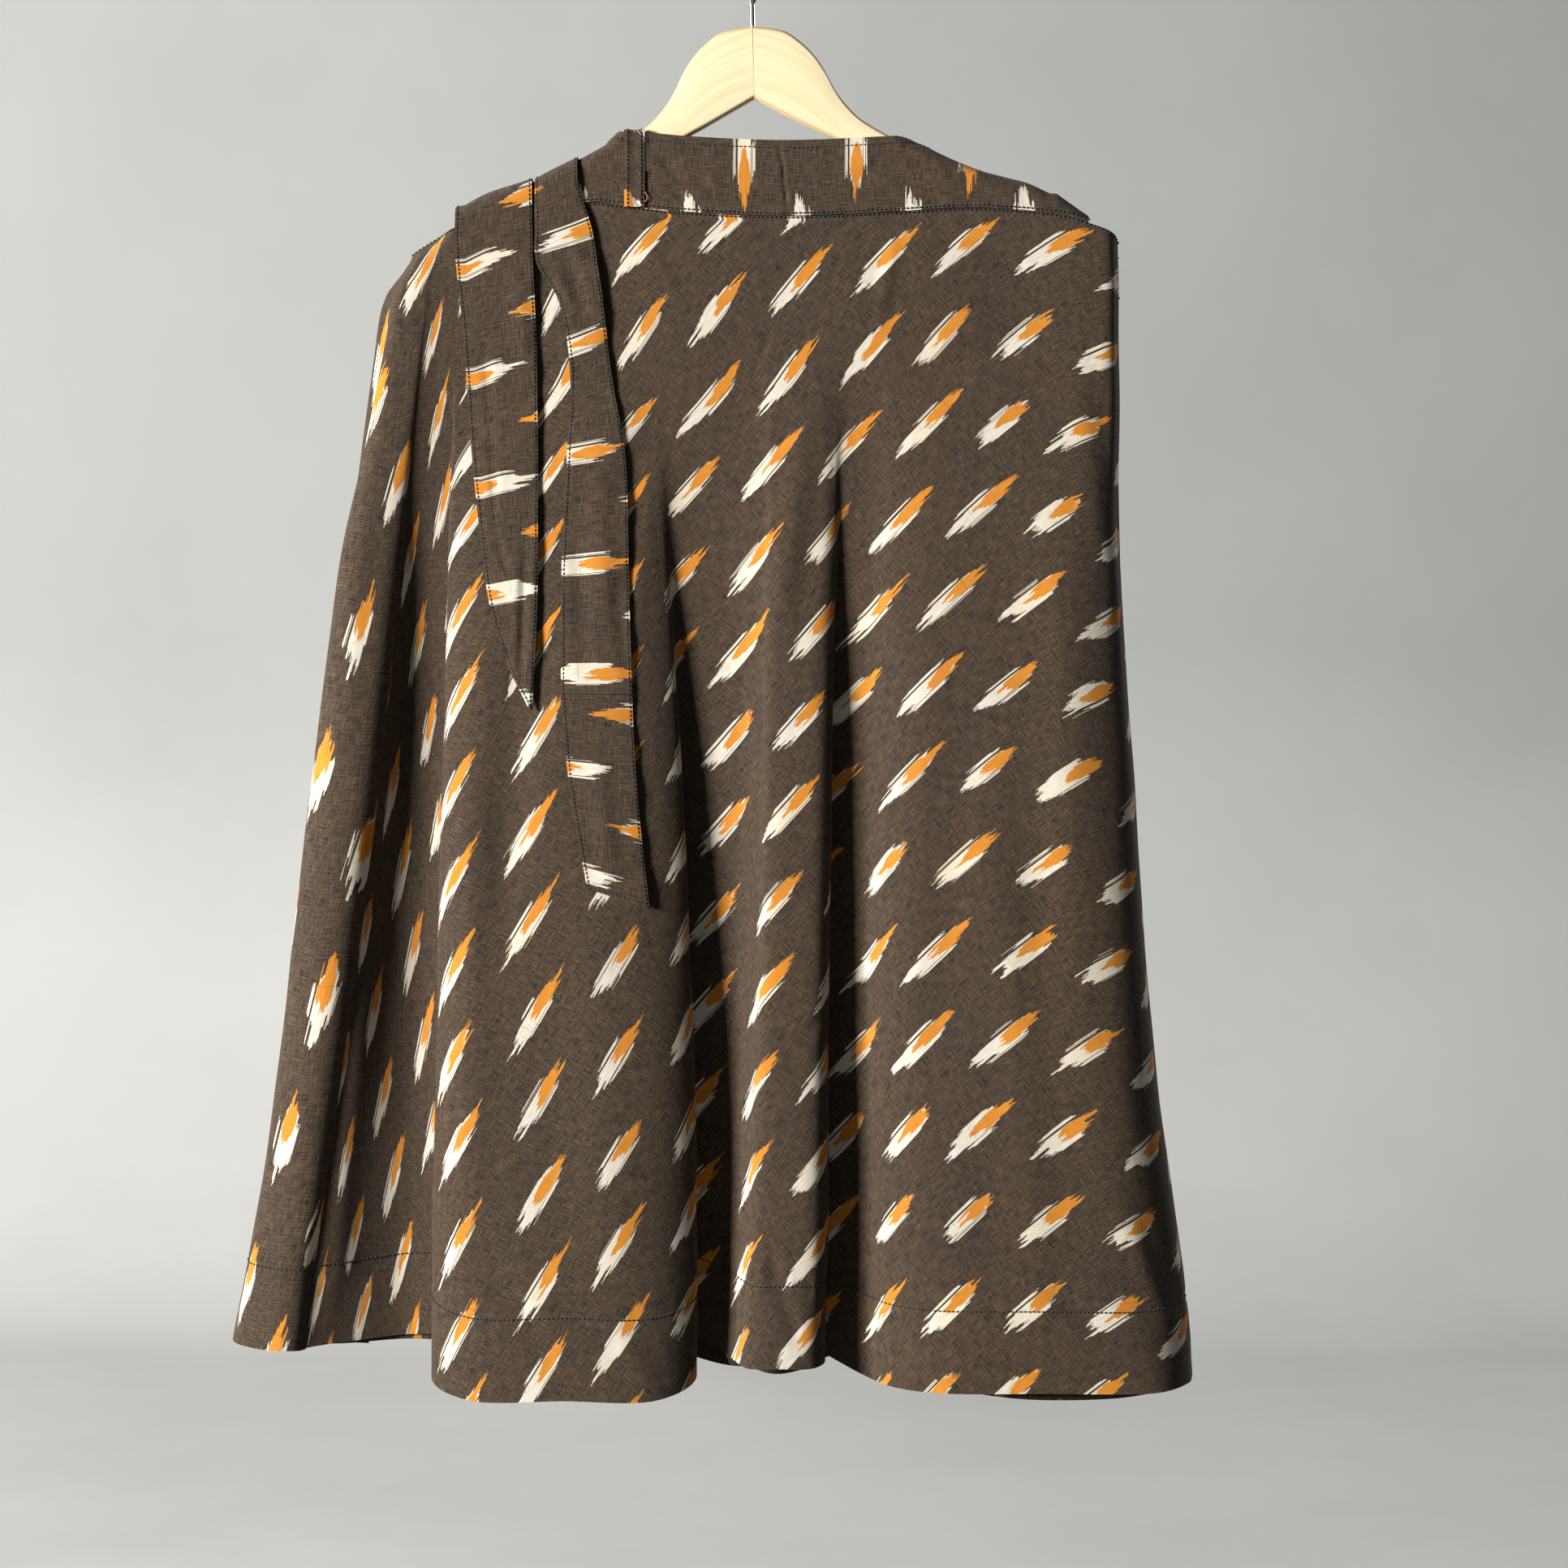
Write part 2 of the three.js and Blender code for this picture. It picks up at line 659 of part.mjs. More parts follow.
// Both arms in one V-shaped board with rounded edges.
function armBoard() {
  const edge = (column, from, to, count) => steps(from, to, count).map((out) => {
    return new THREE.Vector2(out, -read(armRows, 'out', out, column))
  })
  const reach = armRows[armRows.length - 1].out
  const tip = [
    new THREE.Vector2(hangerSpan - 1.6, -188),
    new THREE.Vector2(hangerSpan, -193.5),
    new THREE.Vector2(hangerSpan - 1.6, -199),
  ]
  const right = [...edge('top', 0, reach, 28), ...tip, ...edge('under', reach, 0, 12)]
  const left = right.slice(1, -1).reverse().map((point) => new THREE.Vector2(-point.x, point.y))
  const outline = new THREE.Shape([...right, ...left])
  const geometry = new THREE.ExtrudeGeometry(outline, {
    depth: hangerDepth - 2 * hangerRounding,
    bevelEnabled: true,
    bevelThickness: hangerRounding,
    bevelSize: hangerRounding,
    bevelOffset: -hangerRounding,
    bevelSegments: 2,
  })
  geometry.rotateX(Math.PI / 2)
  geometry.translate(0, hangerDepth / 2 - hangerRounding, 0)
  return toSolid(geometry)
}

// One half of the board, with its half of the hole that takes the hook.
function arm(board, side) {
  const reach = 400
  const half = new THREE.BoxGeometry(reach, reach, reach)
  half.translate(side * (reach / 2 + seamGap / 2), 0, -reach / 2)
  const hole = new THREE.CylinderGeometry(hookWire + seamGap, hookWire + seamGap, 60, 20)
  hole.rotateX(Math.PI / 2)
  hole.translate(0, 0, 30 - shankEnd - seamGap)
  return toGeometry(board.intersect(toSolid(half)).subtract(toSolid(hole)))
}

// The wire hook: a round crook, a short neck and a straight shank in the wood.
function hook() {
  const radius = hookRadius + hookWire
  const crook = steps(200, -60, 20).map((angle) => {
    const turn = THREE.MathUtils.degToRad(angle)
    return new THREE.Vector3(radius * Math.cos(turn), 0, radius * Math.sin(turn) - hookRadius)
  })
  const neck = [
    new THREE.Vector3(3.2, 0, -39.8),
    new THREE.Vector3(0.3, 0, -44.5),
    new THREE.Vector3(0, 0, -50),
  ]
  const shank = [new THREE.Vector3(0, 0, -66), new THREE.Vector3(0, 0, -shankEnd)]
  const path = new THREE.CatmullRomCurve3([...crook, ...neck, ...shank], false, 'centripetal')
  const section = new THREE.Shape()
  section.absarc(0, 0, hookWire, 0, 2 * Math.PI)
  return new THREE.ExtrudeGeometry(section, { extrudePath: path, steps: 50, curveSegments: 5 })
}

function mesh(name, geometry, material) {
  const made = new THREE.Mesh(geometry, material)
  made.name = name
  return made
}

const board = armBoard()
const hanger = new THREE.Group()
hanger.rotation.y = -hangerTilt
hanger.add(
  mesh('hanger_arm_left', arm(board, -1), materials.wood),
  mesh('hanger_arm_right', arm(board, 1), materials.wood),
  mesh('hanger_hook', hook(), materials.steel)
)

const skirt = new THREE.Group()
skirt.position.x = clothShift
skirt.add(
  mesh('wrap_front', outerWrap(), materials.cloth),
  mesh('wrap_under', underWrap(), materials.cloth),
  mesh('skirt_back', backPanel(), materials.cloth),
  mesh('waistband_front', frontBand(), materials.cloth),
  mesh('waistband_back', backBand(), materials.cloth),
  mesh('belt_loop', beltLoop(), materials.cloth),
  mesh('tie_left', tie(tieLeftRows), materials.cloth),
  mesh('tie_right', tie(tieRightRows), materials.cloth),
  mesh('tie_right_end', tieEnd(), materials.cloth)
)

const part = new THREE.Group()
part.add(hanger, skirt)

export default part
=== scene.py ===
# %% [markdown]
# # A wrap skirt of ikat cotton on its wooden hanger
# This lesson dresses a plain solid model of a flared wrap skirt. The solids give the garment's true
# form. Here each piece of cloth becomes a thin shell of that form, with soft creases, a turned hem,
# rows of stitches and a woven, dyed surface.

# %% Load the model as a fixed frame
import math
import bpy
import numpy as np
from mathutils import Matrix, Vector


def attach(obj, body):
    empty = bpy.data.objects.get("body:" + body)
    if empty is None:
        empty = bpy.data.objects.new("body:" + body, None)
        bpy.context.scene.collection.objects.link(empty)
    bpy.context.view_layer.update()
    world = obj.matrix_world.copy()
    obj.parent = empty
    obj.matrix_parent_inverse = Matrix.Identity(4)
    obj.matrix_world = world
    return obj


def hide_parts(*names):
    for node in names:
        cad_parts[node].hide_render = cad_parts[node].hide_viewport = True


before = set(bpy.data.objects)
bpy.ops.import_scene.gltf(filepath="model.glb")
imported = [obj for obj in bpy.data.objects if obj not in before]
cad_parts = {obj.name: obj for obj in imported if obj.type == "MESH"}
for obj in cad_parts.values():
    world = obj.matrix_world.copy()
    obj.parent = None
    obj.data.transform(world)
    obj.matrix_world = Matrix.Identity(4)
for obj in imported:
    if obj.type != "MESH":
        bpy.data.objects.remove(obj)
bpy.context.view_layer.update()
print("nodes", sorted(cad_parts))

# %% [markdown]
# The camera comes first, because every choice of detail depends on what it sees. It stands level and
# straight in front of the skirt, at the height of its middle.

# %% Camera
CAMERA_DISTANCE = 2.4
VIEW_WIDTH = 1.0626
VIEW_CENTRE = (0.02295, -0.574)
SENSOR = 36.0


def added(name, data):
    made = bpy.data.objects.new(name, data)
    bpy.context.scene.collection.objects.link(made)
    return made


camera_data = bpy.data.cameras.new("camera")
camera_data.sensor_width = SENSOR
camera_data.lens = SENSOR * CAMERA_DISTANCE / VIEW_WIDTH
camera = added("camera", camera_data)
camera.location = (VIEW_CENTRE[0], -CAMERA_DISTANCE, VIEW_CENTRE[1])
camera.rotation_euler = (math.radians(90), 0, 0)
bpy.context.scene.camera = camera
print("lens", round(camera_data.lens, 1))

# %% [markdown]
# Sizes are in millimetres, as a maker would note them, and turn into metres when a mesh is made.
# "Down" is the distance below the rail that carries the hanger, and "across" runs to the right.
# A table has named columns, and a smooth curve is read through its rows.

# %% Tables with named columns
MM = 0.001
CLOTH_SHIFT = 2.6


def table(columns, *rows):
    return {name: np.array([row[k] for row in rows], float) for k, name in enumerate(columns.split())}


def read(rows, key, at, column):
    keys, values = rows[key], rows[column]
    last = len(keys) - 1
    at = np.clip(at, keys[0], keys[-1])
    i = np.clip(np.searchsorted(keys, at) - 1, 0, last - 1)
    after, before = np.minimum(np.arange(last + 1) + 1, last), np.maximum(np.arange(last + 1) - 1, 0)
    slopes = (values[after] - values[before]) / (keys[after] - keys[before])
    span = keys[i + 1] - keys[i]
    t = (at - keys[i]) / span
    start = (2 * t**3 - 3 * t**2 + 1) * values[i]
    end = (3 * t**2 - 2 * t**3) * values[i + 1]
    leaving = (t**3 - 2 * t**2 + t) * span * slopes[i]
    arriving = (t**3 - t**2) * span * slopes[i + 1]
    return start + end + leaving + arriving


def lerp(a, b, t):
    return a + (b - a) * t


def smoothstep(value, low, high):
    t = np.clip((value - low) / (high - low), 0, 1)
    return t * t * (3 - 2 * t)


# %% The hanger's arm and the seams and outline of the skirt
ARM = table(
    "out top under",
    (0, 61, 110), (21, 64.7, 121.5), (33, 73, 128), (41.5, 82, 132.3), (48, 92, 135.7),
    (54, 104, 138.8), (61, 114.6, 142.4), (72, 126, 148), (96, 140.5, 160), (147, 165.5, 186),
    (181, 176, 197), (198, 184, 202),
)
SEAM = table(
    "across down",
    (-234, 219), (-230, 215.5), (-202, 197.5), (-180, 191), (-150, 187), (-110, 181), (-88, 183),
    (-47, 187.4), (21, 190.2), (95, 187.4), (144, 184.7), (181, 186.3), (213, 190.2), (228, 195),
    (243, 201), (247, 207),
)
BACK_SEAM = table(
    "across down",
    (-216, 247), (-150, 222), (-90, 195), (0, 188), (90, 193), (150, 210), (246, 246),
)
SIDES = table(
    "down left right",
    (190, -227, 246), (216, -231, 246.5), (243, -243.5, 247), (282, -251, 247), (384, -266, 247),
    (455, -277, 250.5), (565, -291, 257), (675, -306, 264), (785, -321, 274), (890, -340, 290),
    (946, -352, 296), (980, -356, 297),
)
HANGER_TILT = math.radians(1.5)
HANGER_SPAN = 204
LEVELS = (200, 600, 960)
FULL_DEPTH = LEVELS[2]

# %% [markdown]
# ## How the cloth hangs
# The waist is flat over the hanger, and the flare falls into a few deep folds that grow towards the
# hem. Each fold is a row of a table: where its two edges are at three depths, how far it stands out,
# and how low its hem hangs. The line of the cloth in plan goes through the turns of the folds.

# %% The folds of each panel
FOLDS = (
    dict(left=(-229, -290, -351), right=(-214, -262, -308), tuck=(0, -24), slope=(-4, -4),
         out=15, start=210, crest=953, valley=950),
    dict(left=(-196, -210, -216), right=(-86, -48, -38), tuck=(11, 7), slope=(-5, -22),
         out=38, start=300, crest=984, valley=949),
    dict(left=(4, 3, -12), right=(56, 52, 48), tuck=(-12, 8), slope=(-20, -12),
         out=24, start=270, crest=965, valley=955),
    dict(left=(96, 91, 91), right=(246, 257, 296), tuck=(-17, 0), slope=(-12, -4),
         out=27, start=270, crest=981, valley=973),
)
UNDER = table(
    "top hem y top_y down",
    (-214, -340, 1, 0.8, 949), (-209, -331, -4, -5.2, 951), (-190, -290, -2.6, -6.6, 950),
    (-160, -190, -2.4, -6.6, 950), (-125, -125, -13, -6.6, 955), (-92, -58, -2.4, -6.6, 951),
    (-4, -30, -2.4, -6.6, 952), (26, 9, -13, -6.6, 971), (44, 33, -2.4, -6.6, 970),
    (78, 62, -2.4, -6.6, 958), (132, 114, -12, -6.6, 977), (170, 172, -18, -6.6, 987),
    (205, 240, -15, -6.6, 988), (214, 284, -5, -6.6, 983),
)
BACK = table(
    "top hem y top_y down",
    (-214, -340, 2.9, 1.6, 949), (-210, -328, 16, 7.6, 951), (-196, -290, 25, 9.2, 957),
    (-150, -222, 20, 9.2, 953), (-100, -148, 42, 9.2, 972), (-55, -82, 23, 9.2, 956),
    (-5, -8, 46, 9.2, 976), (45, 60, 24, 9.2, 957), (100, 126, 44, 9.2, 975),
    (150, 188, 25, 9.2, 962), (205, 246, 33, 9.2, 976), (241, 289, 18, 7.6, 976),
    (246, 296, 2.3, 2.1, 976),
)
LAP = table(
    "top hem y top_y down",
    (-204, -262, 33, 11.6, 958), (-218, -305, 38, 11.6, 957), (-228, -340, 25, 8.5, 951),
)
PANEL_FRONT = -8.1
VALLEY_HEM = -9
VALLEY_START = 300
BACK_START = 250
GROWTH_POWER = 1.7
SIDE_STEP = 5
LEFT_EDGE = dict(y=1.5, growth=3, hem=948, next_hem=950, next_share=0.85)
RIGHT_EDGE = dict(y=1.4, hem=975, next_hem=977, next_share=0.75)
FOLD_SECTION = dict(round=0.14, edge_out=0.5, round_out=0.9, edge_hem=0.66)


def at_level(values, down):
    high, middle, low = LEVELS
    first = (down - middle) * (down - low) / ((high - middle) * (high - low))
    second = (down - high) * (down - low) / ((middle - high) * (middle - low))
    third = (down - high) * (down - middle) / ((low - high) * (low - middle))
    return values[0] * first + values[1] * second + values[2] * third


def growth(down, start):
    return 1 - (1 - np.clip((down - start) / (FULL_DEPTH - start), 0, 1)) ** GROWTH_POWER


def fold_turns(fold, down):
    grown = growth(down, fold["start"])
    valley = lerp(PANEL_FRONT, VALLEY_HEM, growth(down, VALLEY_START))
    left, right = at_level(fold["left"], down), at_level(fold["right"], down)
    out = fold["out"] * grown
    edge_hem = lerp(fold["valley"], fold["crest"], FOLD_SECTION["edge_hem"])
    edge = valley - FOLD_SECTION["edge_out"] * out
    shoulder = valley - FOLD_SECTION["round_out"] * out
    inset = FOLD_SECTION["round"] * (right - left)
    tuck_left, tuck_right = (
        lerp(soft, tuck, grown**0.7) for soft, tuck in zip(fold["slope"], fold["tuck"])
    )
    return [
        (left + tuck_left, valley, fold["valley"]),
        (left, edge, edge_hem),
        (left + inset, shoulder, fold["crest"]),
        ((left + right) / 2, valley - out, fold["crest"]),
        (right - inset, shoulder, fold["crest"]),
        (right, edge, edge_hem),
        (right - tuck_right, valley, fold["valley"]),
    ]


def spread_at(side, down):
    waist, full = (read(SIDES, "down", at, side) for at in (LEVELS[0], FULL_DEPTH))
    return (read(SIDES, "down", down, side) - waist) / (full - waist)


def plan_turns(rows, down, start):
    grown = growth(down, start)
    spread = {side: spread_at(side, down) for side in ("left", "right")}
    return [
        (lerp(top, hem, spread["left" if hem < 0 else "right"]), lerp(top_y, y, grown), low)
        for top, hem, y, top_y, low in zip(*(rows[k] for k in ("top", "hem", "y", "top_y", "down")))
    ]


def stacked(turns, down):
    return np.array([np.stack(np.broadcast_arrays(*turn, down)[:3], -1) for turn in turns])


def outer_plan(down):
    left, right = read(SIDES, "down", down, "left"), read(SIDES, "down", down, "right")
    side, wide, narrow, last = (fold_turns(fold, down) for fold in FOLDS)
    shift = left - at_level(FOLDS[0]["left"], down)
    lap = [(x + shift, y, hem) for x, y, hem in plan_turns(LAP, down, BACK_START)]
    left_y = LEFT_EDGE["y"] + LEFT_EDGE["growth"] * growth(down, LEVELS[0])
    left_fold = [
        (left, left_y, LEFT_EDGE["hem"]),
        (left + SIDE_STEP, side[2][1] * LEFT_EDGE["next_share"], LEFT_EDGE["next_hem"]),
    ]
    right_edge = [
        (right - SIDE_STEP, last[5][1] * RIGHT_EDGE["next_share"], RIGHT_EDGE["next_hem"]),
        (right, RIGHT_EDGE["y"], RIGHT_EDGE["hem"]),
    ]
    return stacked([*lap, *left_fold, *side[3:], *wide, *narrow, *last[:5], *right_edge], down)


def under_plan(down):
    return stacked(plan_turns(UNDER, down, VALLEY_START), down)


def back_plan(down):
    return stacked(plan_turns(BACK, down, BACK_START), down)


# %% [markdown]
# A smooth curve through the turns gives the cloth's line at any depth. The centripetal kind is used
# because it makes no loops where two turns lie close together, as in a tight fold.

# %% A smooth curve through the turns
def along(turns, place):
    padded = np.concatenate([2 * turns[:1] - turns[1:2], turns, 2 * turns[-1:] - turns[-2:-1]])
    run = place * (len(turns) - 1)
    first = np.minimum(run.astype(int), len(turns) - 2)
    t = (run - first)[:, None, None]
    p0, p1, p2, p3 = (padded[first + k, np.arange(len(place))] for k in range(4))
    pairs = (p0, p1), (p1, p2), (p2, p3)
    d0, d1, d2 = (np.sum((b - a) ** 2, -1, keepdims=True) ** 0.25 for a, b in pairs)
    leaving = d1 * ((p1 - p0) / d0 - (p2 - p0) / (d0 + d1) + (p2 - p1) / d1)
    arriving = d1 * ((p2 - p1) / d1 - (p3 - p1) / (d1 + d2) + (p3 - p2) / d2)
    curved = -3 * p1 + 3 * p2 - 2 * leaving - arriving
    return p1 + leaving * t + curved * t**2 + (2 * p1 - 2 * p2 + leaving + arriving) * t**3


def across_at(plan, place, down):
    return along(plan(np.broadcast_to(down, len(place))[:, None]), place)[:, 0, 0]


def on_plan(plan, columns, tops, ends, rows):
    down = lerp(tops[:, None], ends[:, None], rows[None, :])
    place = along(plan(down), columns)
    return np.stack([place[..., 0], place[..., 1], -down], -1)


def hanging_grid(plan, columns, rows, tops):
    hems = along(plan(np.full((len(columns), 1), float(FULL_DEPTH))), columns)[:, 0, 2]
    return on_plan(plan, columns, tops, hems, rows)


def smooth_path(turns, count):
    turns = np.array(turns, float)[:, None, None, :].repeat(count, 1)
    return along(turns, np.linspace(0, 1, count))[:, 0]


# %% The upper edges of the panels
BAND_SEAM_GAP, SEAM_GAP = 0.6, 0.3
BAND_TOP, BAND_HEIGHT = 134.6, 51
LAP_TOPS = dict(edge=246, fold=219)
ROOF = dict(height=14, opens=203, closed=212, middle=1.5, thin=0.16, slope=0.66)
UNDER_TOP = dict(below_band=16, below_arm=7, across=-202, down=197.5)
BACK_TOP = dict(below_band=2, below_arm=4.5, across=-234, down=221, slope=0.62)
CORNER_FALL = 0.72


def arm_top(x):
    down = np.full(np.shape(x), float(LEVELS[0]))
    for _ in range(3):
        out = (x + CLOTH_SHIFT) * math.cos(HANGER_TILT) - down * math.sin(HANGER_TILT)
        top = read(ARM, "out", np.abs(out), "top")
        down = top * math.cos(HANGER_TILT) - out * math.sin(HANGER_TILT)
    return down + CORNER_FALL * np.maximum(0, x - HANGER_SPAN)


def outer_tops(columns, fold_place):
    seam = read(SEAM, "across", across_at(outer_plan, columns, LEVELS[0]), "down") + BAND_SEAM_GAP
    lap = lerp(LAP_TOPS["edge"], LAP_TOPS["fold"], columns / fold_place)
    return np.where(columns < fold_place, lap, seam)


def under_tops(columns):
    x = across_at(under_plan, columns, LEVELS[0])
    under_roof = UNDER_TOP["down"] + ROOF["height"] - ROOF["slope"] * (x - UNDER_TOP["across"])
    below_arm = arm_top(x) + UNDER_TOP["below_arm"]
    below_band = np.full(len(x), BAND_TOP + UNDER_TOP["below_band"])
    return np.maximum.reduce([below_band, below_arm, under_roof])


def back_seam(columns):
    down = np.full(len(columns), float(LEVELS[0]))
    for _ in range(4):
        down = read(BACK_SEAM, "across", across_at(back_plan, columns, down), "down")
    return down


def close_shoulder(grid):
    top = -grid[:, :1, 2]
    on_back = smoothstep(top, LAP_TOPS["fold"] + 1, LAP_TOPS["fold"] + 9)
    reach = smoothstep(-grid[:, :1, 0], ROOF["opens"], ROOF["closed"]) * (1 - on_back)
    below = np.clip((-grid[..., 2] - top) / ROOF["height"], 0, 1)
    opened = np.maximum(np.sqrt(1 - (1 - below) ** 2), ROOF["thin"])
    away = grid[..., 1] - ROOF["middle"]
    closed = ROOF["middle"] + away * opened
    grid[..., 1] = lerp(grid[..., 1], closed, reach)
    return grid


# %% [markdown]
# ## Creases, hems and shells
# A rigid form looks like paper until small things are added: long soft troughs where the cloth was
# folded in a drawer, a hem that puckers along its stitching, and a faint unevenness everywhere. Each
# crease is a row of a table, so that its place, length, depth and width are easy to change.

# %% Soft creases
CREASES = "x0 down0 x1 down1 depth width"
FRONT_CREASES = table(
    CREASES,
    (-257, 300, -308, 1120, 11.5, 33), (-226, 420, -240, 1100, -3.2, 17),
    (-150, 440, -172, 690, -3.4, 17),
    (-112, 640, -96, 905, 2.2, 20), (-186, 560, -196, 900, 2.0, 13),
    (-72, 330, -108, 470, -1.8, 12), (12, 268, -2, 300, -1.1, 2.2), (64, 262, 118, 244, -1.0, 3.5),
    (110, 300, 196, 268, -1.3, 9), (34, 330, 18, 470, 1.6, 9), (22, 762, 48, 728, -0.9, 3),
    (140, 500, 118, 820, -2.4, 18), (206, 420, 214, 760, 2.0, 15), (170, 640, 190, 930, 2.3, 16),
    (232, 300, 246, 420, -1.4, 8), (84, 890, 120, 925, -1.2, 6), (60, 470, 92, 452, -0.9, 4),
    (-262, 330, -274, 520, 1.2, 7), (-232, 420, -252, 760, -1.6, 9), (-262, 700, -286, 930, 1.5, 9),
    (-170, 905, -132, 962, -1.3, 7), (-92, 930, -70, 975, 1.2, 6), (8, 880, 30, 950, -1.0, 5),
    (182, 890, 236, 944, -1.4, 8), (246, 860, 276, 935, 1.2, 7), (150, 205, 186, 236, -1.0, 5),
    (-64, 200, -40, 250, -0.9, 5), (96, 204, 84, 262, 0.9, 5),
)
HIDDEN_CREASES = table(
    CREASES,
    (-188, 300, -214, 560, -2.2, 14), (-128, 420, -150, 780, 1.8, 15), (-70, 290, -84, 520, -1.9, 11),
    (-30, 640, -36, 930, -2.3, 14), (28, 380, 40, 700, 2.0, 13), (84, 290, 96, 470, -1.6, 9),
    (120, 620, 150, 930, -2.4, 15), (186, 400, 214, 720, 2.1, 13), (214, 620, 250, 900, -1.5, 9),
    (-240, 640, -276, 920, -1.7, 11), (-10, 230, 24, 250, -1.0, 4), (150, 250, 176, 232, -1.1, 5),
)
RUMPLES = table(
    "run_x run_down size phase",
    (0.041, 0.013, 0.34, 0.4), (-0.023, 0.031, 0.30, 2.1), (0.067, -0.021, 0.20, 4.0),
    (0.015, 0.071, 0.16, 1.2), (-0.095, 0.037, 0.12, 5.3),
)


def crease_lift(x, down, creases):
    lift = np.zeros(np.shape(x))
    for x0, down0, x1, down1, depth, width in zip(*creases.values()):
        run = np.array([x1 - x0, down1 - down0])
        length = np.hypot(*run)
        part = ((x - x0) * run[0] + (down - down0) * run[1]) / length**2
        side = ((x - x0) * run[1] - (down - down0) * run[0]) / length / width
        taper = np.exp(-((2 * part - 1) ** 2) ** 2 * 1.2)
        rim = np.clip(0.6 - width / 40, 0, 0.45)
        lift += depth * taper * (np.exp(-side**2) - rim * np.exp(-((np.abs(side) - 1.7) ** 2)))
    return lift


def rumple(x, down):
    waves = zip(*RUMPLES.values())
    return sum(size * np.sin(a * x + b * down + phase) for a, b, size, phase in waves)


# %% The hem's own relief
HEM_DEPTH = 55
GROOVE, GROOVE_WIDTH = 1.0, 1.8
PUCKER, PUCKER_WIDTH = 0.42, 11
FLUTTER, FLUTTER_REACH = 0.9, 60


def hem_relief(to_hem, around):
    line = to_hem - HEM_DEPTH
    groove = -GROOVE * np.exp(-((line / GROOVE_WIDTH) ** 2))
    ripple = np.sin(around / 2.1) * np.sin(around / 5.3 + 1) + 0.5 * np.sin(around / 9.7)
    pucker = PUCKER * ripple * np.exp(-((line / PUCKER_WIDTH) ** 2))
    wave = np.sin(around / 17) * np.sin(around / 41 + 2)
    return groove + pucker + FLUTTER * wave * smoothstep(-to_hem, -FLUTTER_REACH, 0)


# %% [markdown]
# A shell is made from a grid of points: the grid moved out by half the cloth's thickness, the grid
# moved in, and a narrow rim between them. Solidify could do it too, but here the inner side also
# carries the turned-up hem, which is thicker, so both sides are worked out in code. The UV map holds
# each point's place on the flat cloth, in metres, so that a woven pattern runs as it was cut.

# %% From a grid of points to a shell of cloth
def normals_of(grid):
    across, down = np.gradient(grid, axis=0), np.gradient(grid, axis=1)
    normals = np.cross(down, across)
    return normals / np.maximum(np.linalg.norm(normals, axis=-1, keepdims=True), 1e-9)


def lengths_down(grid):
    steps = np.linalg.norm(np.diff(grid, axis=1), axis=-1)
    return np.concatenate([np.zeros((len(grid), 1)), np.cumsum(steps, 1)], 1)


def to_metres(points, shift=CLOTH_SHIFT):
    return (np.asarray(points) + np.array([shift, 0, 0])) * MM


SHARP_ANGLE = 55


def new_mesh(name, vertices, faces, uvs=None, material=None):
    mesh = bpy.data.meshes.new(name)
    mesh.from_pydata(np.asarray(vertices).tolist(), [], faces)
    mesh.polygons.foreach_set("use_smooth", [True] * len(mesh.polygons))
    if uvs is not None:
        corners = np.empty(len(mesh.loops), dtype=np.int32)
        mesh.loops.foreach_get("vertex_index", corners)
        layer = mesh.uv_layers.new(name="cloth")
        layer.data.foreach_set("uv", np.asarray(uvs, np.float32)[corners].ravel())
    if material is not None:
        mesh.materials.append(material)
    mesh.update()
    mesh.set_sharp_from_angle(angle=math.radians(SHARP_ANGLE))
    return added(name, mesh)


def shell_faces(columns, rows):
    index = np.arange(columns * rows).reshape(columns, rows)
    corners = [index[:-1, :-1], index[:-1, 1:], index[1:, 1:], index[1:, :-1]]
    quads = np.stack(corners, -1).reshape(-1, 4)
    inner = quads[:, ::-1] + index.size
    border = np.concatenate([index[0, :-1], index[:-1, -1], index[-1, :0:-1], index[:0:-1, 0]])
    after = np.roll(border, -1)
    rim = np.stack([after, border, border + index.size, after + index.size], -1)
    return np.concatenate([quads, inner, rim]).tolist()


def cloth_shell(name, grid, flat, thickness, material, extra_inside=0.0):
    normals = normals_of(grid)
    outer = grid + normals * thickness / 2
    inner = grid - normals * (thickness / 2 + np.asarray(extra_inside)[..., None])
    vertices = to_metres(np.concatenate([outer.reshape(-1, 3), inner.reshape(-1, 3)]))
    uvs = np.concatenate([flat.reshape(-1, 2)] * 2) * MM
    return new_mesh(name, vertices, shell_faces(*grid.shape[:2]), uvs, material)


# %% [markdown]
# ## Where the cloth was cut
# A flared panel is cut as part of a ring, and the warp runs one way through all of it. So the woven
# dashes lean more and more towards the right. Every point gets its place in that ring: the radius
# from its distance below the waist, and the angle from the length of cloth to its left. The tucks
# between the folds hold more cloth than the solid shows, so their cloth counts more. That is most of
# all so beside the widest fold, where a row of a table says at which turn, over how many turns, and
# how many times more.

# %% The place of each point on the flat cloth
TUCK_SHARE = 1.6
HIDDEN_CLOTH = table("turn turns more", (7.9, 1.3, 1.0), (9.5, 0.5, 2.6))


def cloth_held(turns):
    rows = zip(*HIDDEN_CLOTH.values())
    return 1 + sum(more * np.exp(-(((turns - turn) / wide) ** 2)) for turn, wide, more in rows)


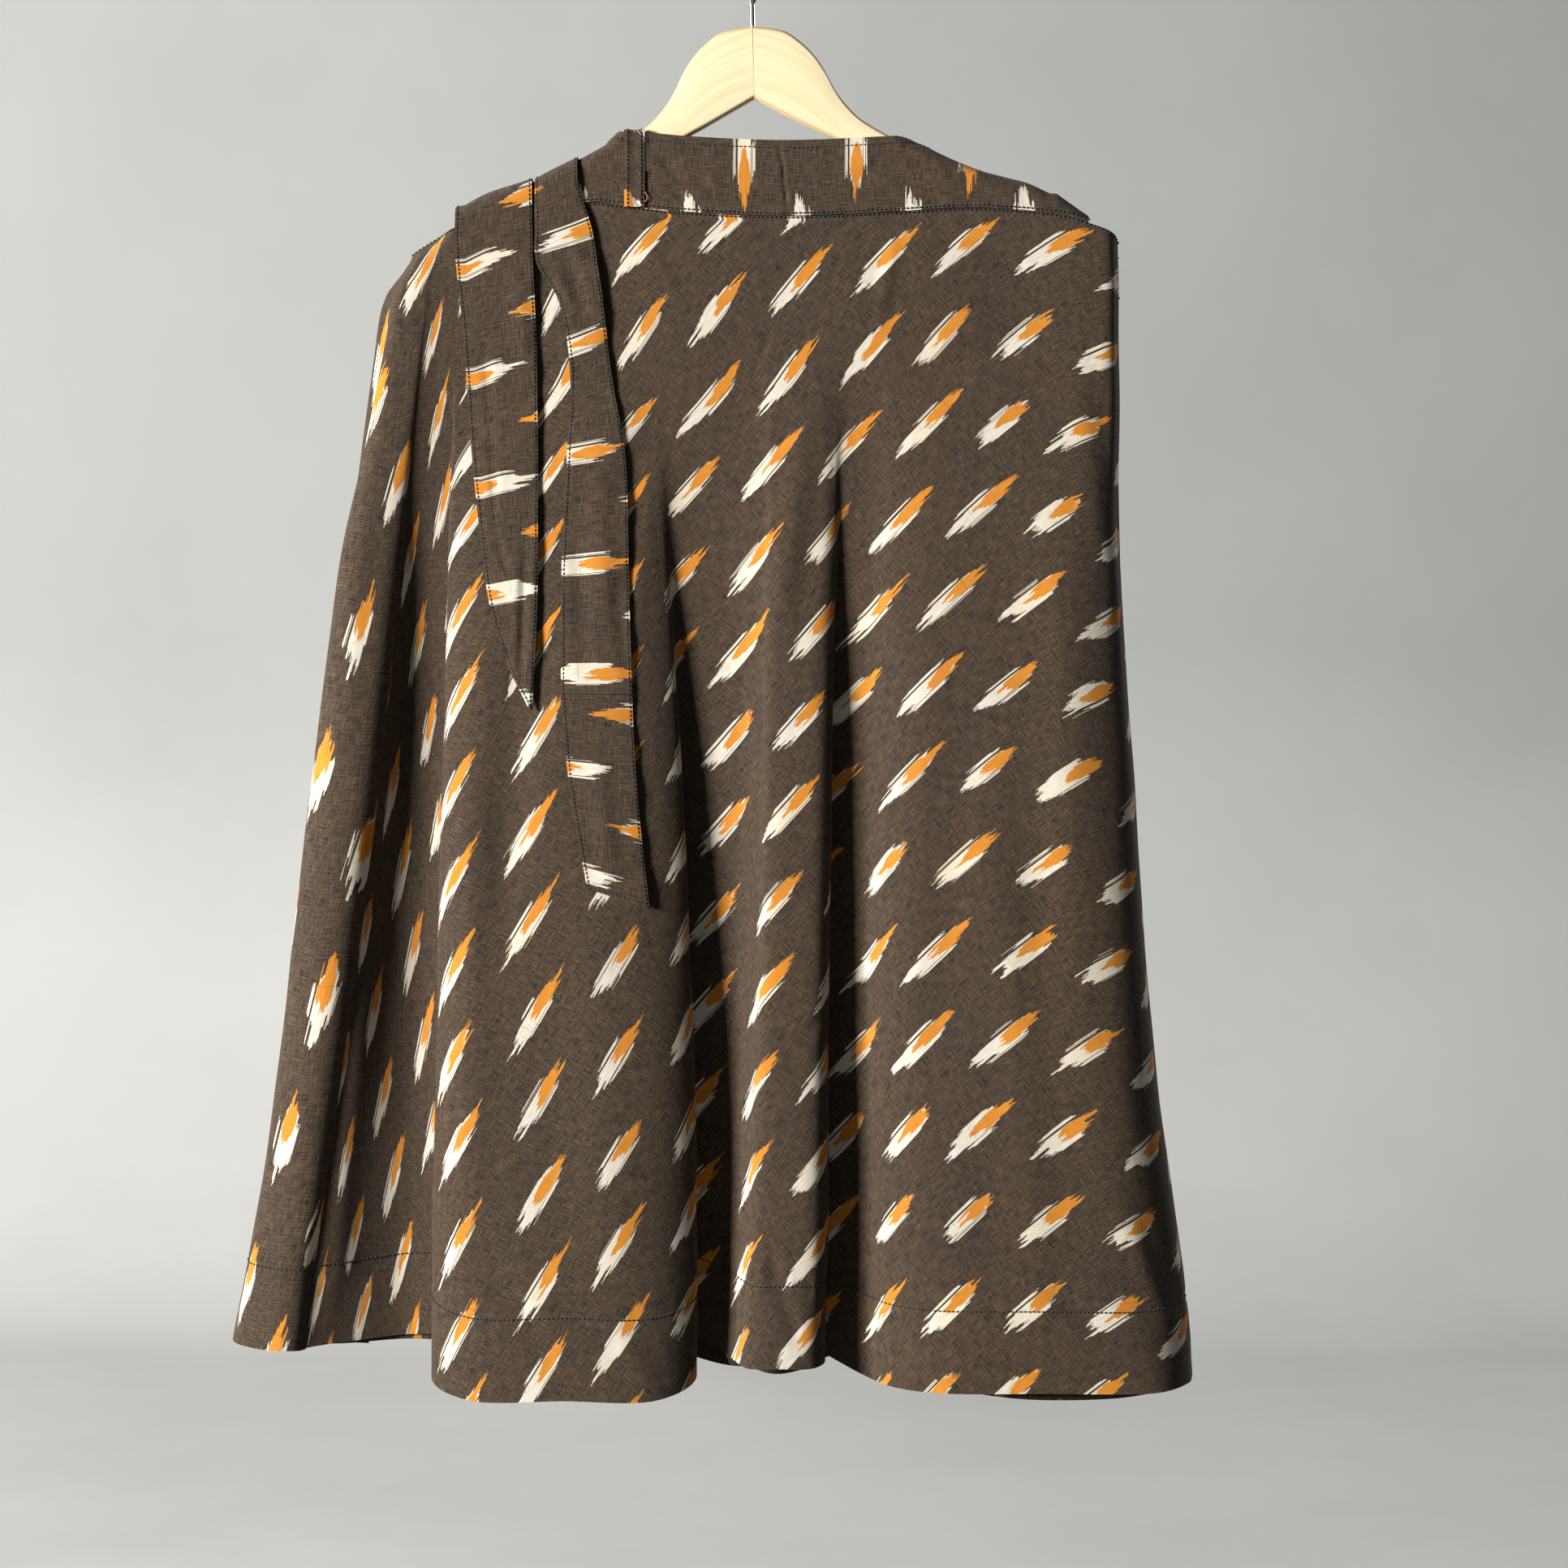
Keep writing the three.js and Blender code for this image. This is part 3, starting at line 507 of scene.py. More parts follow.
def ring_place(grid, first_column, angles, radius, more=1.0):
    steps = np.diff(grid, axis=0)
    lengths = np.linalg.norm(steps[..., :2], axis=-1)
    facing = np.abs(steps[..., 0]) / np.maximum(lengths, 1e-9)
    held = lengths * (1 + TUCK_SHARE * (1 - facing)) * more
    run = np.concatenate([np.zeros((1, grid.shape[1])), np.cumsum(held, 0)])
    run = (run - run[first_column]) / (run[-1] - run[first_column])
    angle = np.radians(angles[0] + (angles[1] - angles[0]) * run)
    out = radius + lengths_down(grid)
    return np.stack([out * np.sin(angle), -out * np.cos(angle)], -1)


# %% [markdown]
# ## Colour and weave
# The shader groups below hold what several materials share. The weave group tells which yarn lies on
# top and how bright it is. The ikat group draws the tie-dyed dashes: before weaving, bundles of warp
# yarn were bound and dyed white and orange, so every dash ends in a ragged fringe of single yarns.
# A node's output is wrapped as a Value first, so that sums of nodes read like sums of numbers.

# %% Short calls for building node trees
class Value:
    def __init__(self, wires, socket):
        self.wires, self.socket = wires, socket


def sums_with(operation):
    return lambda self, *others: self.wires.maths(operation, self, *others)


for sign, operation in dict(
    add="ADD", sub="SUBTRACT", mul="MULTIPLY", truediv="DIVIDE", pow="POWER", abs="ABSOLUTE",
    gt="GREATER_THAN", lt="LESS_THAN",
).items():
    setattr(Value, f"__{sign}__", sums_with(operation))


class Wires:
    def __init__(self, tree):
        self.tree = tree

    def put(self, socket, value):
        if isinstance(value, Value):
            self.tree.links.new(value.socket, socket)
        else:
            socket.default_value = value

    def node(self, kind, inputs=(), **settings):
        made = self.tree.nodes.new(kind)
        for name, value in settings.items():
            setattr(made, name, value)
        for key, value in dict(inputs).items():
            self.put(made.inputs[key], value)
        return made

    def out(self, kind, inputs=(), output=0, **settings):
        return Value(self, self.node(kind, inputs, **settings).outputs[output])

    def values(self, node):
        return {socket.name: Value(self, socket) for socket in node.outputs}

    def maths(self, operation, *values, clamp=False):
        return self.out("ShaderNodeMath", enumerate(values), operation=operation, use_clamp=clamp)

    def join(self, x, y, z=0.0):
        return self.out("ShaderNodeCombineXYZ", enumerate((x, y, z)))

    def split(self, vector):
        return list(self.values(self.node("ShaderNodeSeparateXYZ", {0: vector})).values())

    def scatter(self, vector):
        given = {"Vector": vector}
        return self.split(self.out("ShaderNodeTexWhiteNoise", given, "Color", noise_dimensions="3D"))

    def noise(self, vector, scale, detail=2.0, roughness=0.5):
        inputs = {"Vector": vector, "Scale": scale, "Detail": detail, "Roughness": roughness}
        return self.out("ShaderNodeTexNoise", inputs, "Fac", noise_dimensions="3D")

    def mix(self, share, a, b, blend="MIX"):
        inputs = {"Factor": share, 6: a, 7: b}
        return self.out("ShaderNodeMix", inputs, 2, data_type="RGBA", blend_type=blend)

    def spread(self, value, low, high, to_low=0.0, to_high=1.0):
        inputs = enumerate((value, low, high, to_low, to_high))
        return self.out("ShaderNodeMapRange", inputs, clamp=True)

    def bump(self, height, strength, distance):
        inputs = {"Height": height, "Strength": strength, "Distance": distance}
        return self.out("ShaderNodeBump", inputs)

    def group(self, tree, **inputs):
        return self.values(self.node("ShaderNodeGroup", inputs, node_tree=tree))


def add_socket(tree, label, kind="Float", side="INPUT", default=None):
    socket = tree.interface.new_socket(label, in_out=side, socket_type="NodeSocket" + kind)
    if default is not None:
        socket.default_value = default


def shader_group(name, inputs, outputs):
    tree = bpy.data.node_groups.new(name, "ShaderNodeTree")
    add_socket(tree, "Vector", "Vector")
    for label, default in inputs.items():
        add_socket(tree, label, default=default)
    for label in outputs:
        add_socket(tree, label, side="OUTPUT")
    wires = Wires(tree)
    given = wires.values(wires.node("NodeGroupInput"))
    result = wires.node("NodeGroupOutput").inputs

    def give(**values):
        for label, value in values.items():
            wires.put(result[label], value)
        print(name, "has", len(tree.nodes), "nodes")
        return tree

    return wires, given, give


# %% The ikat group: rows of dashes in a half-drop repeat
def make_ikat():
    w, given, give = shader_group(
        "ikat dashes",
        {"Spacing": 37.5, "Repeat": 98.0, "Length": 56.0, "Width": 15.0, "Yarn": 0.45},
        ("White", "Orange"),
    )
    u, v, _ = w.split(given["Vector"])
    column = w.maths("ROUND", u / given["Spacing"])
    row_run = v / given["Repeat"] - w.maths("FLOORED_MODULO", column, 2.0) * 0.5
    row = w.maths("ROUND", row_run)
    cell = w.scatter(w.join(column, row, 0.5))
    x = u - column * given["Spacing"] + (cell[0] - 0.5) * 3.0
    y = (row_run - row) * given["Repeat"] + (cell[1] - 0.5) * 7.0
    yarn = w.maths("FLOOR", x / given["Yarn"])
    single = w.scatter(w.join(yarn, column, row))
    several = w.scatter(w.join(w.maths("FLOOR", yarn / 4.0), column, row + 0.3))

    def uneven(which, size, fine):
        return (single[which] - 0.5) * fine + (several[which] - 0.5) * size

    def within(distance):
        return w.maths("MULTIPLY_ADD", distance, 1.3, 0.5, clamp=True)

    half = given["Length"] * 0.5
    place = x / (given["Width"] * 0.5)
    side = abs(place)
    above = within(y + half * (side**1.4 * -0.62 + 1.08) + uneven(0, 15.0, 7.0))
    below = within(half * (side * -0.42 + 0.80) - y + uneven(1, 9.0, 6.0))
    gap = (abs(place + 0.66) < 0.085) * (cell[2] > 0.25)
    loose = (side > 0.6) * (single[2] > 0.80)
    whole = w.maths("SUBTRACT", side < 1.0, w.maths("MAXIMUM", gap, loose), clamp=True)
    core = abs(place - 0.04) / 0.58
    begun = within(y - half * (core**2.0 * 0.42 - 0.22) + uneven(2, 11.0, 4.0))
    ended = within(half * (core**1.5 * -0.42 + 1.08) - y + uneven(0, 13.0, 7.0))
    return give(White=above * below * whole, Orange=begun * ended * (core < 1.0))


ikat_dashes = make_ikat()


# %% The weave group: brown and black yarns, over and under
def make_weave():
    w, given, give = shader_group(
        "plain weave", {"Yarn": 0.58, "Streak": 10.0},
        ("Warp", "Weft", "Over", "Height", "Slub", "Speck"),
    )
    u, v, _ = w.split(given["Vector"])
    across, down = u / given["Yarn"], v / given["Yarn"]
    warp = w.noise(w.join(across, v / given["Streak"], 0.0), 1.0, 1.0, 0.4)
    weft = w.noise(w.join(u / given["Streak"], down, 7.0), 1.0, 1.0, 0.4)
    cross = w.maths("SINE", across * math.pi) * w.maths("SINE", down * math.pi)
    fibre = w.noise(w.join(across, down, 3.0), 0.55, 2.0, 0.8)
    slub = w.noise(w.join(u / 34.0, v / 1.1, 11.0), 1.0, 1.0, 0.4)
    speck = w.noise(w.join(u / 0.95, v / 1.7, 5.0), 1.0, 1.0, 0.5)
    return give(
        Warp=w.spread(warp, 0.34, 0.68), Weft=w.spread(weft, 0.34, 0.68),
        Over=w.spread(fibre * 1.6 + cross, 0.2, 1.5), Height=cross * 0.5 + fibre,
        Slub=w.spread(slub, 0.68, 0.80), Speck=w.spread(speck, 0.56, 0.70),
    )


plain_weave = make_weave()


# %% The cloth material
WHITE_YARN = (0.60, 0.55, 0.44, 1), (0.75, 0.70, 0.60, 1)
ORANGE_YARN = (0.56, 0.20, 0.018, 1), (0.64, 0.255, 0.030, 1)
WARP_YARN = (0.008, 0.007, 0.008, 1), (0.140, 0.082, 0.032, 1)
WEFT_YARN = (0.006, 0.006, 0.010, 1), (0.100, 0.076, 0.053, 1)
COOL_OR_WARM = (0.42, 0.43, 0.50, 1), (0.56, 0.52, 0.44, 1)
SLUB_COLOUR, SPECK_COLOUR = (0.014, 0.013, 0.017, 1), (0.012, 0.012, 0.019, 1)


def principled(name, **fixed):
    material = bpy.data.materials.new(name)
    material.use_nodes = True
    shader = material.node_tree.nodes["Principled BSDF"]
    w = Wires(material.node_tree)

    def give(**values):
        for label, value in values.items():
            w.put(shader.inputs[label.replace("_", " ")], value)
        return material

    give(**fixed)
    print("material", name)
    return w, give


def cloth_material(name, **repeat):
    w, give = principled(
        name, Roughness=0.88, Sheen_Weight=0.12, Sheen_Roughness=0.5, Specular_IOR_Level=0.18,
    )
    place = w.out("ShaderNodeUVMap", uv_map="cloth")
    flat = w.out("ShaderNodeVectorMath", {0: place, 1: (1 / MM, 1 / MM, 0)}, operation="MULTIPLY")
    weave = w.group(plain_weave, Vector=flat)
    dashes = w.group(ikat_dashes, Vector=flat, **repeat)
    dyed = w.maths("MAXIMUM", dashes["White"], dashes["Orange"])
    warp = w.mix(weave["Warp"], *WARP_YARN)
    warp = w.mix(dashes["White"], warp, w.mix(weave["Warp"], *WHITE_YARN))
    warp = w.mix(dashes["Orange"], warp, w.mix(weave["Warp"], *ORANGE_YARN))
    shown = w.maths("MAXIMUM", weave["Over"], dyed * 0.93)
    cloth = w.mix(shown, w.mix(weave["Weft"], *WEFT_YARN), warp)
    patches = w.spread(w.noise(flat, 0.013, 3.0, 0.6), 0.3, 0.7)
    toned = w.mix(0.5, cloth, w.mix(patches, *COOL_OR_WARM), "OVERLAY")
    slubbed = w.mix(weave["Slub"] * 0.45, toned, SLUB_COLOUR)
    specked = w.mix(weave["Speck"] * 0.62, slubbed, SPECK_COLOUR)
    relief = w.bump(weave["Height"], 0.5, 0.00012)
    return give(Base_Color=w.mix(dyed, specked, slubbed), Normal=relief)


panel_cloth = cloth_material("ikat_cotton_panels", Length=50.0)
strip_cloth = cloth_material("ikat_cotton_strips", Repeat=106.0, Length=50.0)


# %% [markdown]
# ## The outer wrap
# This is the front that shows. It is one panel: it starts on the back, turns round the left side and
# runs over the whole front to the right. Its columns of points follow the plan curve, closer than in
# the solid, and the creases move them along their normals. The same steps then make the other panels.

# %% The outer wrap
CLOTH_THICKNESS = 0.7
HEM_EXTRA, HEM_STEP = 0.8, 1.2
SETTLE = 40
OUTER_TURNS = len(outer_plan(np.array(600.0)))
FOLD_PLACE = len(LAP["top"]) / (OUTER_TURNS - 1)
OUTER_ANGLES = (4, 61)
OUTER_RADIUS = 573


def panel_rows(near, far, bend=0.05):
    return np.concatenate([np.linspace(0, bend, near, endpoint=False), np.linspace(bend, 1, far)])


def dressed(grid, creases, shown):
    length = lengths_down(grid)
    to_hem = length[:, -1:] - length
    hem_steps = np.linalg.norm(np.diff(grid[:, -1], axis=0), axis=-1)
    around = np.concatenate([[0], np.cumsum(hem_steps)])[:, None]
    x, down = grid[..., 0], -grid[..., 2]
    settle = smoothstep(length, 0, SETTLE)
    lift = (crease_lift(x, down, creases) * shown + rumple(x, down)) * settle
    lift = lift + hem_relief(to_hem, around)
    turned = HEM_EXTRA * smoothstep(-to_hem, -HEM_DEPTH - HEM_STEP, -HEM_DEPTH + HEM_STEP)
    return grid + normals_of(grid) * lift[..., None], turned


def cloth_panel(name, grid, creases, shown, radius, angles, first_column=0, more=1.0):
    flat = ring_place(grid, first_column, angles, radius, more)
    grid, turned = dressed(grid, creases, shown)
    print(name, grid.shape, "points")
    return grid, cloth_shell(name, grid, flat, CLOTH_THICKNESS, panel_cloth, turned)


columns = np.linspace(0, 1, 9 * (OUTER_TURNS - 1) + 1)
fold_column = int(np.argmax(columns >= FOLD_PLACE))
outer_grid = hanging_grid(outer_plan, columns, panel_rows(12, 136), outer_tops(columns, FOLD_PLACE))
held = cloth_held((columns[1:] + columns[:-1]) / 2 * (OUTER_TURNS - 1))[:, None]
on_front = smoothstep(columns, FOLD_PLACE, FOLD_PLACE + 0.03)[:, None]
outer_grid, outer_wrap = cloth_panel(
    "outer_wrap", close_shoulder(outer_grid), FRONT_CREASES, on_front, OUTER_RADIUS, OUTER_ANGLES,
    fold_column, held,
)

# %% The under wrap and the back
UNDER_RADIUS, UNDER_ANGLES = 545, (14, 59)
BACK_RADIUS, BACK_ANGLES = 560, (8, 56)
UNDER_CREASED = 0.35
columns = np.linspace(0, 1, 150)
under_grid, under_wrap = cloth_panel(
    "under_wrap", hanging_grid(under_plan, columns, panel_rows(6, 92), under_tops(columns)),
    HIDDEN_CREASES, UNDER_CREASED, UNDER_RADIUS, UNDER_ANGLES,
)
columns = np.linspace(1, 0, 200)
back_tops = back_seam(columns) + SEAM_GAP
back_grid, back_panel = cloth_panel(
    "back_panel", hanging_grid(back_plan, columns, panel_rows(6, 118), back_tops),
    HIDDEN_CREASES, 1.0, BACK_RADIUS, BACK_ANGLES,
)

# %% [markdown]
# ## The waistband
# The band is a straight strip of doubled cloth with its warp upright, so its dashes stand straight.
# In the middle it stands free between the hanger's arms, and at both sides it bends over them.

# %% Strips that go over the hanger's arm
BAND_FRONT, BAND_BACK, BAND_RISE = -8.5, 6.9, 7.9
BAND_STANDS, BAND_BENDS, BEND_DROP = 78, 101, 4
BAND_ENDS = (-199, 226)
BAND_THICKNESS = 1.7


def bend_centre(x):
    over = smoothstep(np.abs(x), BAND_STANDS, BAND_BENDS)
    return lerp(BAND_TOP - 2, arm_top(x) + BEND_DROP, over)


def over_arm(x, length, foot, front, back, rise):
    radius, centre = (back - front) / 2, bend_centre(x)
    leg, arc = foot - centre, math.pi * ((back - front) / 2 + rise) / 2
    turn = np.clip((length - leg) / arc, 0, 1) * math.pi
    y = (back + front) / 2 - radius * np.cos(turn)
    up = np.where(length <= leg, length - foot, rise * np.sin(turn) - centre)
    up = np.where(length > leg + arc, leg + arc - length - centre, up)
    return np.stack([np.broadcast_to(x, up.shape), y, up], -1)


# %% The front and back waistbands
BAND_DASH = dict(x=-5.5, below_top=13.5)
BACK_BAND_DASH = 170
PULL = 0.22
band_x = np.linspace(*BAND_ENDS, 240)[:, None]
band_seam = read(SEAM, "across", band_x, "down")
bent = smoothstep(np.abs(band_x), BAND_STANDS, BAND_BENDS)
band_height = np.minimum(BAND_HEIGHT, lerp(band_seam - BAND_TOP, BAND_HEIGHT, bent))
band_length = band_height * np.linspace(1, 0, 28)[None, :]
band_grid = over_arm(band_x, band_length, band_seam, BAND_FRONT, BAND_BACK, BAND_RISE)
BAND_CREASES = table(
    CREASES,
    (17.6, 140, 22.8, 190, -0.9, 1.3), (-60, 150, -48, 184, -0.4, 5), (64, 176, 92, 150, -0.5, 6),
    (120, 150, 134, 184, 0.4, 6), (168, 165, 190, 182, -0.5, 5), (-128, 160, -100, 180, -0.4, 5),
    (-30, 142, -24, 188, 0.35, 4), (196, 178, 220, 190, -0.4, 4),
)
band_x_all, band_down = band_grid[..., 0], -band_grid[..., 2]
near_seam = np.exp(-((band_length - 3) / 5) ** 2)
near_top = np.exp(-((band_height - band_length - 5) / 3) ** 2)
seam_pull = PULL * np.sin(band_x_all / 2.7) * np.sin(band_x_all / 7.1) * near_seam
top_pull = PULL * np.sin(band_x_all / 3.1 + 1) * near_top
band_lift = crease_lift(band_x_all, band_down, BAND_CREASES) + seam_pull + top_pull
band_grid = band_grid + normals_of(band_grid) * band_lift[..., None]
band_flat = np.stack([
    np.broadcast_to(band_x, band_length.shape) - BAND_DASH["x"],
    BAND_HEIGHT - BAND_DASH["below_top"] - band_length,
], -1)
front_band = cloth_shell("front_band", band_grid, band_flat, BAND_THICKNESS, strip_cloth)

columns = np.linspace(1, 0, 160)
back_x = across_at(back_plan, columns, LEVELS[0])
back_tops = np.maximum.reduce([
    np.full(len(back_x), BAND_TOP + BACK_TOP["below_band"]),
    arm_top(back_x) + BACK_TOP["below_arm"],
    BACK_TOP["down"] - BACK_TOP["slope"] * np.abs(back_x - BACK_TOP["across"]),
])
back_band_grid = on_plan(back_plan, columns, back_tops, back_seam(columns), np.linspace(0, 1, 20))
back_band_flat = np.stack([-back_band_grid[..., 0], -back_band_grid[..., 2] - BACK_BAND_DASH], -1)
back_band = cloth_shell("back_band", back_band_grid, back_band_flat, BAND_THICKNESS, strip_cloth)
print("bands", band_grid.shape, back_band_grid.shape)

# %% [markdown]
# ## The ties and the belt loop
# Two tie ends hang over the left arm. They are cut across the cloth, so on them the warp and its
# dashes run from side to side. Each one lies on the outer wrap: its depth is taken from the wrap's
# own line at that place, moved out. The right tie is pieced from two lengths.

# %% The ties
TIE_LEFT = table(
    "down left right",
    (186, -201.5, -149.8), (217, -201.5, -149.2), (270, -196, -147), (340, -191, -145.5),
    (426, -181.5, -145), (461, -175.5, -145.5), (498, -163, -147), (524, -150, -148.4),
)
TIE_RIGHT = table(
    "down left right",
    (170, -147.8, -119), (199, -147.8, -109.5), (223, -146.5, -105.5), (247, -132, -102),
    (295, -124, -96.5), (355, -126, -86.5), (430, -129, -84), (514, -129, -81.5),
)
TIE_END = table(
    "down left right",
    (514.3, -129, -81.5), (560, -125, -79), (600, -119, -75), (644, -111, -69.5),
)
TIE_FRONT, TIE_BACK, TIE_RISE, TIE_LIFT = -11.1, 11.5, 10.5, 2.2
TIE_BACK_END, TIE_BELOW_BEND, TIE_END_SLANT = 216, 5, 13
TIE_THICKNESS, TIE_COLUMNS = 1.2, 17


def front_line(down):
    columns = np.linspace(FOLD_PLACE, 1, 320)
    line = along(outer_plan(np.full((len(columns), 1), float(down))), columns)[:, 0]
    return line[:, 0], line[:, 1]


FRONT_DEPTHS = np.linspace(150, 680, 107)
FRONT_X = np.linspace(-215, -60, 63)
front_map = np.empty((len(FRONT_DEPTHS), len(FRONT_X)))
for k, depth in enumerate(FRONT_DEPTHS):
    line_x, line_y = front_line(depth)
    for m, place_x in enumerate(FRONT_X):
        a, b = line_x[:-1] - place_x, line_x[1:] - place_x
        meets = np.flatnonzero((a * b <= 0) & (line_x[:-1] != line_x[1:]))
        met = [line_y[i] + (line_y[i + 1] - line_y[i]) * a[i] / (a[i] - b[i]) for i in meets]
        front_map[k, m] = min([PANEL_FRONT, *met])


def step_at(steps, value):
    return np.clip((value - steps[0]) / (steps[1] - steps[0]), 0, len(steps) - 1.001)


def on_panel(x, down):
    i, j = step_at(FRONT_DEPTHS, down), step_at(FRONT_X, x)
    i0, j0 = i.astype(int), j.astype(int)
    upper = lerp(front_map[i0, j0], front_map[i0, j0 + 1], j - j0)
    lower = lerp(front_map[i0 + 1, j0], front_map[i0 + 1, j0 + 1], j - j0)
    return np.minimum(TIE_FRONT, lerp(upper, lower, i - i0) - TIE_LIFT)


def tie_front(rows, tops, row_count, slant=0.0):
    part = np.linspace(0, 1, TIE_COLUMNS)[:, None]
    run = np.linspace(0, 1, row_count)[None, :]
    down = lerp(np.broadcast_to(tops, TIE_COLUMNS)[:, None], rows["down"][-1], run)
    x = lerp(read(rows, "down", down, "left"), read(rows, "down", down, "right"), part)
    down = down + slant * part * run
    return np.stack([x, on_panel(x, down), -down], -1)


def whole_tie(rows):
    x = lerp(rows["left"][0], rows["right"][0], np.linspace(0, 1, TIE_COLUMNS))
    centre = bend_centre(x)
    front = tie_front(rows, centre + TIE_BELOW_BEND, 130)
    arc = math.pi * ((TIE_BACK - TIE_FRONT) / 2 + TIE_RISE) / 2
    lengths = lerp(arc + TIE_BACK_END - centre[:, None], 0, np.linspace(0, 1, 40)[None, :])
    bend = over_arm(x[:, None], lengths, centre[:, None], TIE_FRONT, TIE_BACK, TIE_RISE)
    return np.concatenate([bend, front], 1)


def tie_flat(grid, warp_sign, first_dash, dash_x, lean):
    length = lengths_down(grid).mean(0)
    down = -grid[grid.shape[0] // 2, :, 2]
    front = np.flatnonzero(grid[grid.shape[0] // 2, :, 1] < 0)
    start = front[np.argmin(np.abs(down[front] - first_dash))]
    u = np.broadcast_to(length - length[start], grid.shape[:2])
    middle = dash_x + lean * (-grid[..., 2] - first_dash)
    return np.stack([u, warp_sign * (grid[..., 0] - middle)], -1)


TIE_CREASES = table(
    CREASES,
    (-182, 275, -175, 361, -0.9, 2.6), (-175, 361, -173.6, 407, -1.0, 2.4),
    (-173.6, 407, -165, 433, -0.8, 2.4),
    (-160, 230, -152, 300, 0.9, 6), (-190, 330, -172, 350, -0.6, 4), (-153, 410, -156, 505, -1.3, 3),
    (-128, 215, -112, 262, -1.1, 5), (-116, 300, -98, 318, -0.6, 5), (-104, 350, -100, 470, 0.9, 7),
    (-120, 400, -112, 500, -0.8, 5), (-110, 540, -88, 560, -0.7, 5), (-104, 560, -96, 640, 0.9, 6),
    (-92, 440, -84, 506, -0.7, 4),
)


def dressed_tie(grid):
    x, down = grid[..., 0], -grid[..., 2]
    edge = np.linspace(-1, 1, len(grid))[:, None]
    wave = 0.5 * np.sin(down / 13 + 2 * edge) * edge**2 + 0.35 * np.sin(down / 5.1 + 1) * edge**4
    lift = crease_lift(x, down, TIE_CREASES) * (grid[..., 1] < 0) + wave + 0.5 * (1 - edge**2)
    return grid + normals_of(grid) * lift[..., None]


TIE_DASHES = dict(
    left_tie=(-1, 218.8, -191.5, 0.075), right_tie=(1, 276.5, -117, 0.05),
    right_tie_end=(-1, 528, -75, 0.08),
)
tie_grids = dict(
    left_tie=whole_tie(TIE_LEFT), right_tie=whole_tie(TIE_RIGHT),
    right_tie_end=tie_front(TIE_END, TIE_END["down"][0], 50, TIE_END_SLANT),
)
tie_shapes, tie_pieces = {}, {}
for name, grid in tie_grids.items():
    flat, shape = tie_flat(grid, *TIE_DASHES[name]), dressed_tie(grid)
    tie_shapes[name] = shape
    tie_pieces[name] = cloth_shell(name, shape, flat, TIE_THICKNESS, strip_cloth)
    print(name, shape.shape, "points")

# %% The belt loop
LOOP = dict(left=-87.5, right=-73.7, bottom=184.5, solid=1.2, cloth=0.9, inside=12, rise=0.6)
LOOP_BULGE = dict(out=0.35, at=0.62, wide=0.2, dip=0.25, dip_wide=0.3)
LOOP_DASH = dict(turned=math.radians(33), down=64, side=-2, top=12)
loop_out = BAND_FRONT - 1 - SEAM_GAP - LOOP["solid"] / 2
loop_in = BAND_FRONT + 1 + SEAM_GAP + LOOP["solid"] / 2
loop_top = BAND_TOP - SEAM_GAP - LOOP["solid"] / 2
loop_turn = np.linspace(0, math.pi, 14)
loop_radius = (loop_in - loop_out) / 2
loop_over = (loop_in + loop_out) / 2 + loop_radius * np.cos(loop_turn)
loop_y = np.concatenate([[loop_in] * 4, loop_over, [loop_out] * 30])
loop_down = np.concatenate([
    np.linspace(loop_top + LOOP["inside"], loop_top + 1, 4),
    loop_top - loop_radius * LOOP["rise"] * np.sin(loop_turn),
    np.linspace(loop_top + 1.5, LOOP["bottom"], 30),
])
loop_x = np.linspace(LOOP["left"], LOOP["right"], 13)[:, None]
loop_grid = np.stack(np.broadcast_arrays(loop_x, loop_y, -loop_down), -1)
loop_edge = np.linspace(-1, 1, len(loop_x))[:, None]
from_ridge = (np.abs(loop_edge) - LOOP_BULGE["at"]) / LOOP_BULGE["wide"]
from_dip = loop_edge / LOOP_BULGE["dip_wide"]
loop_bulge = LOOP_BULGE["out"] * np.exp(-from_ridge**2) - LOOP_BULGE["dip"] * np.exp(-from_dip**2)
loop_grid = loop_grid + normals_of(loop_grid) * loop_bulge[..., None]
loop_down, loop_side = lengths_down(loop_grid) - LOOP_DASH["down"], loop_grid[..., 0] - LOOP["left"]
cos, sin = math.cos(LOOP_DASH["turned"]), math.sin(LOOP_DASH["turned"])
loop_flat = np.stack([
    loop_side * cos - loop_down * sin + LOOP_DASH["side"],
    -loop_side * sin - loop_down * cos + LOOP_DASH["top"],
], -1)
belt_loop = cloth_shell("loop_strip", loop_grid, loop_flat, LOOP["cloth"], strip_cloth)
print("belt loop", loop_grid.shape)

# %% [markdown]
# ## Stitches
# A row of stitches is a small shape repeated along a line, which is what Geometry Nodes do best. The
# line lies on the cloth. The tree cuts it into equal steps, puts a thin grain of thread on each, and
# tilts every grain a little, because no machine stitch is quite straight.

# %% The stitch tree
STITCH = dict(Pitch=3.0, Length=2.4, Width=0.95)
TILT = 0.1


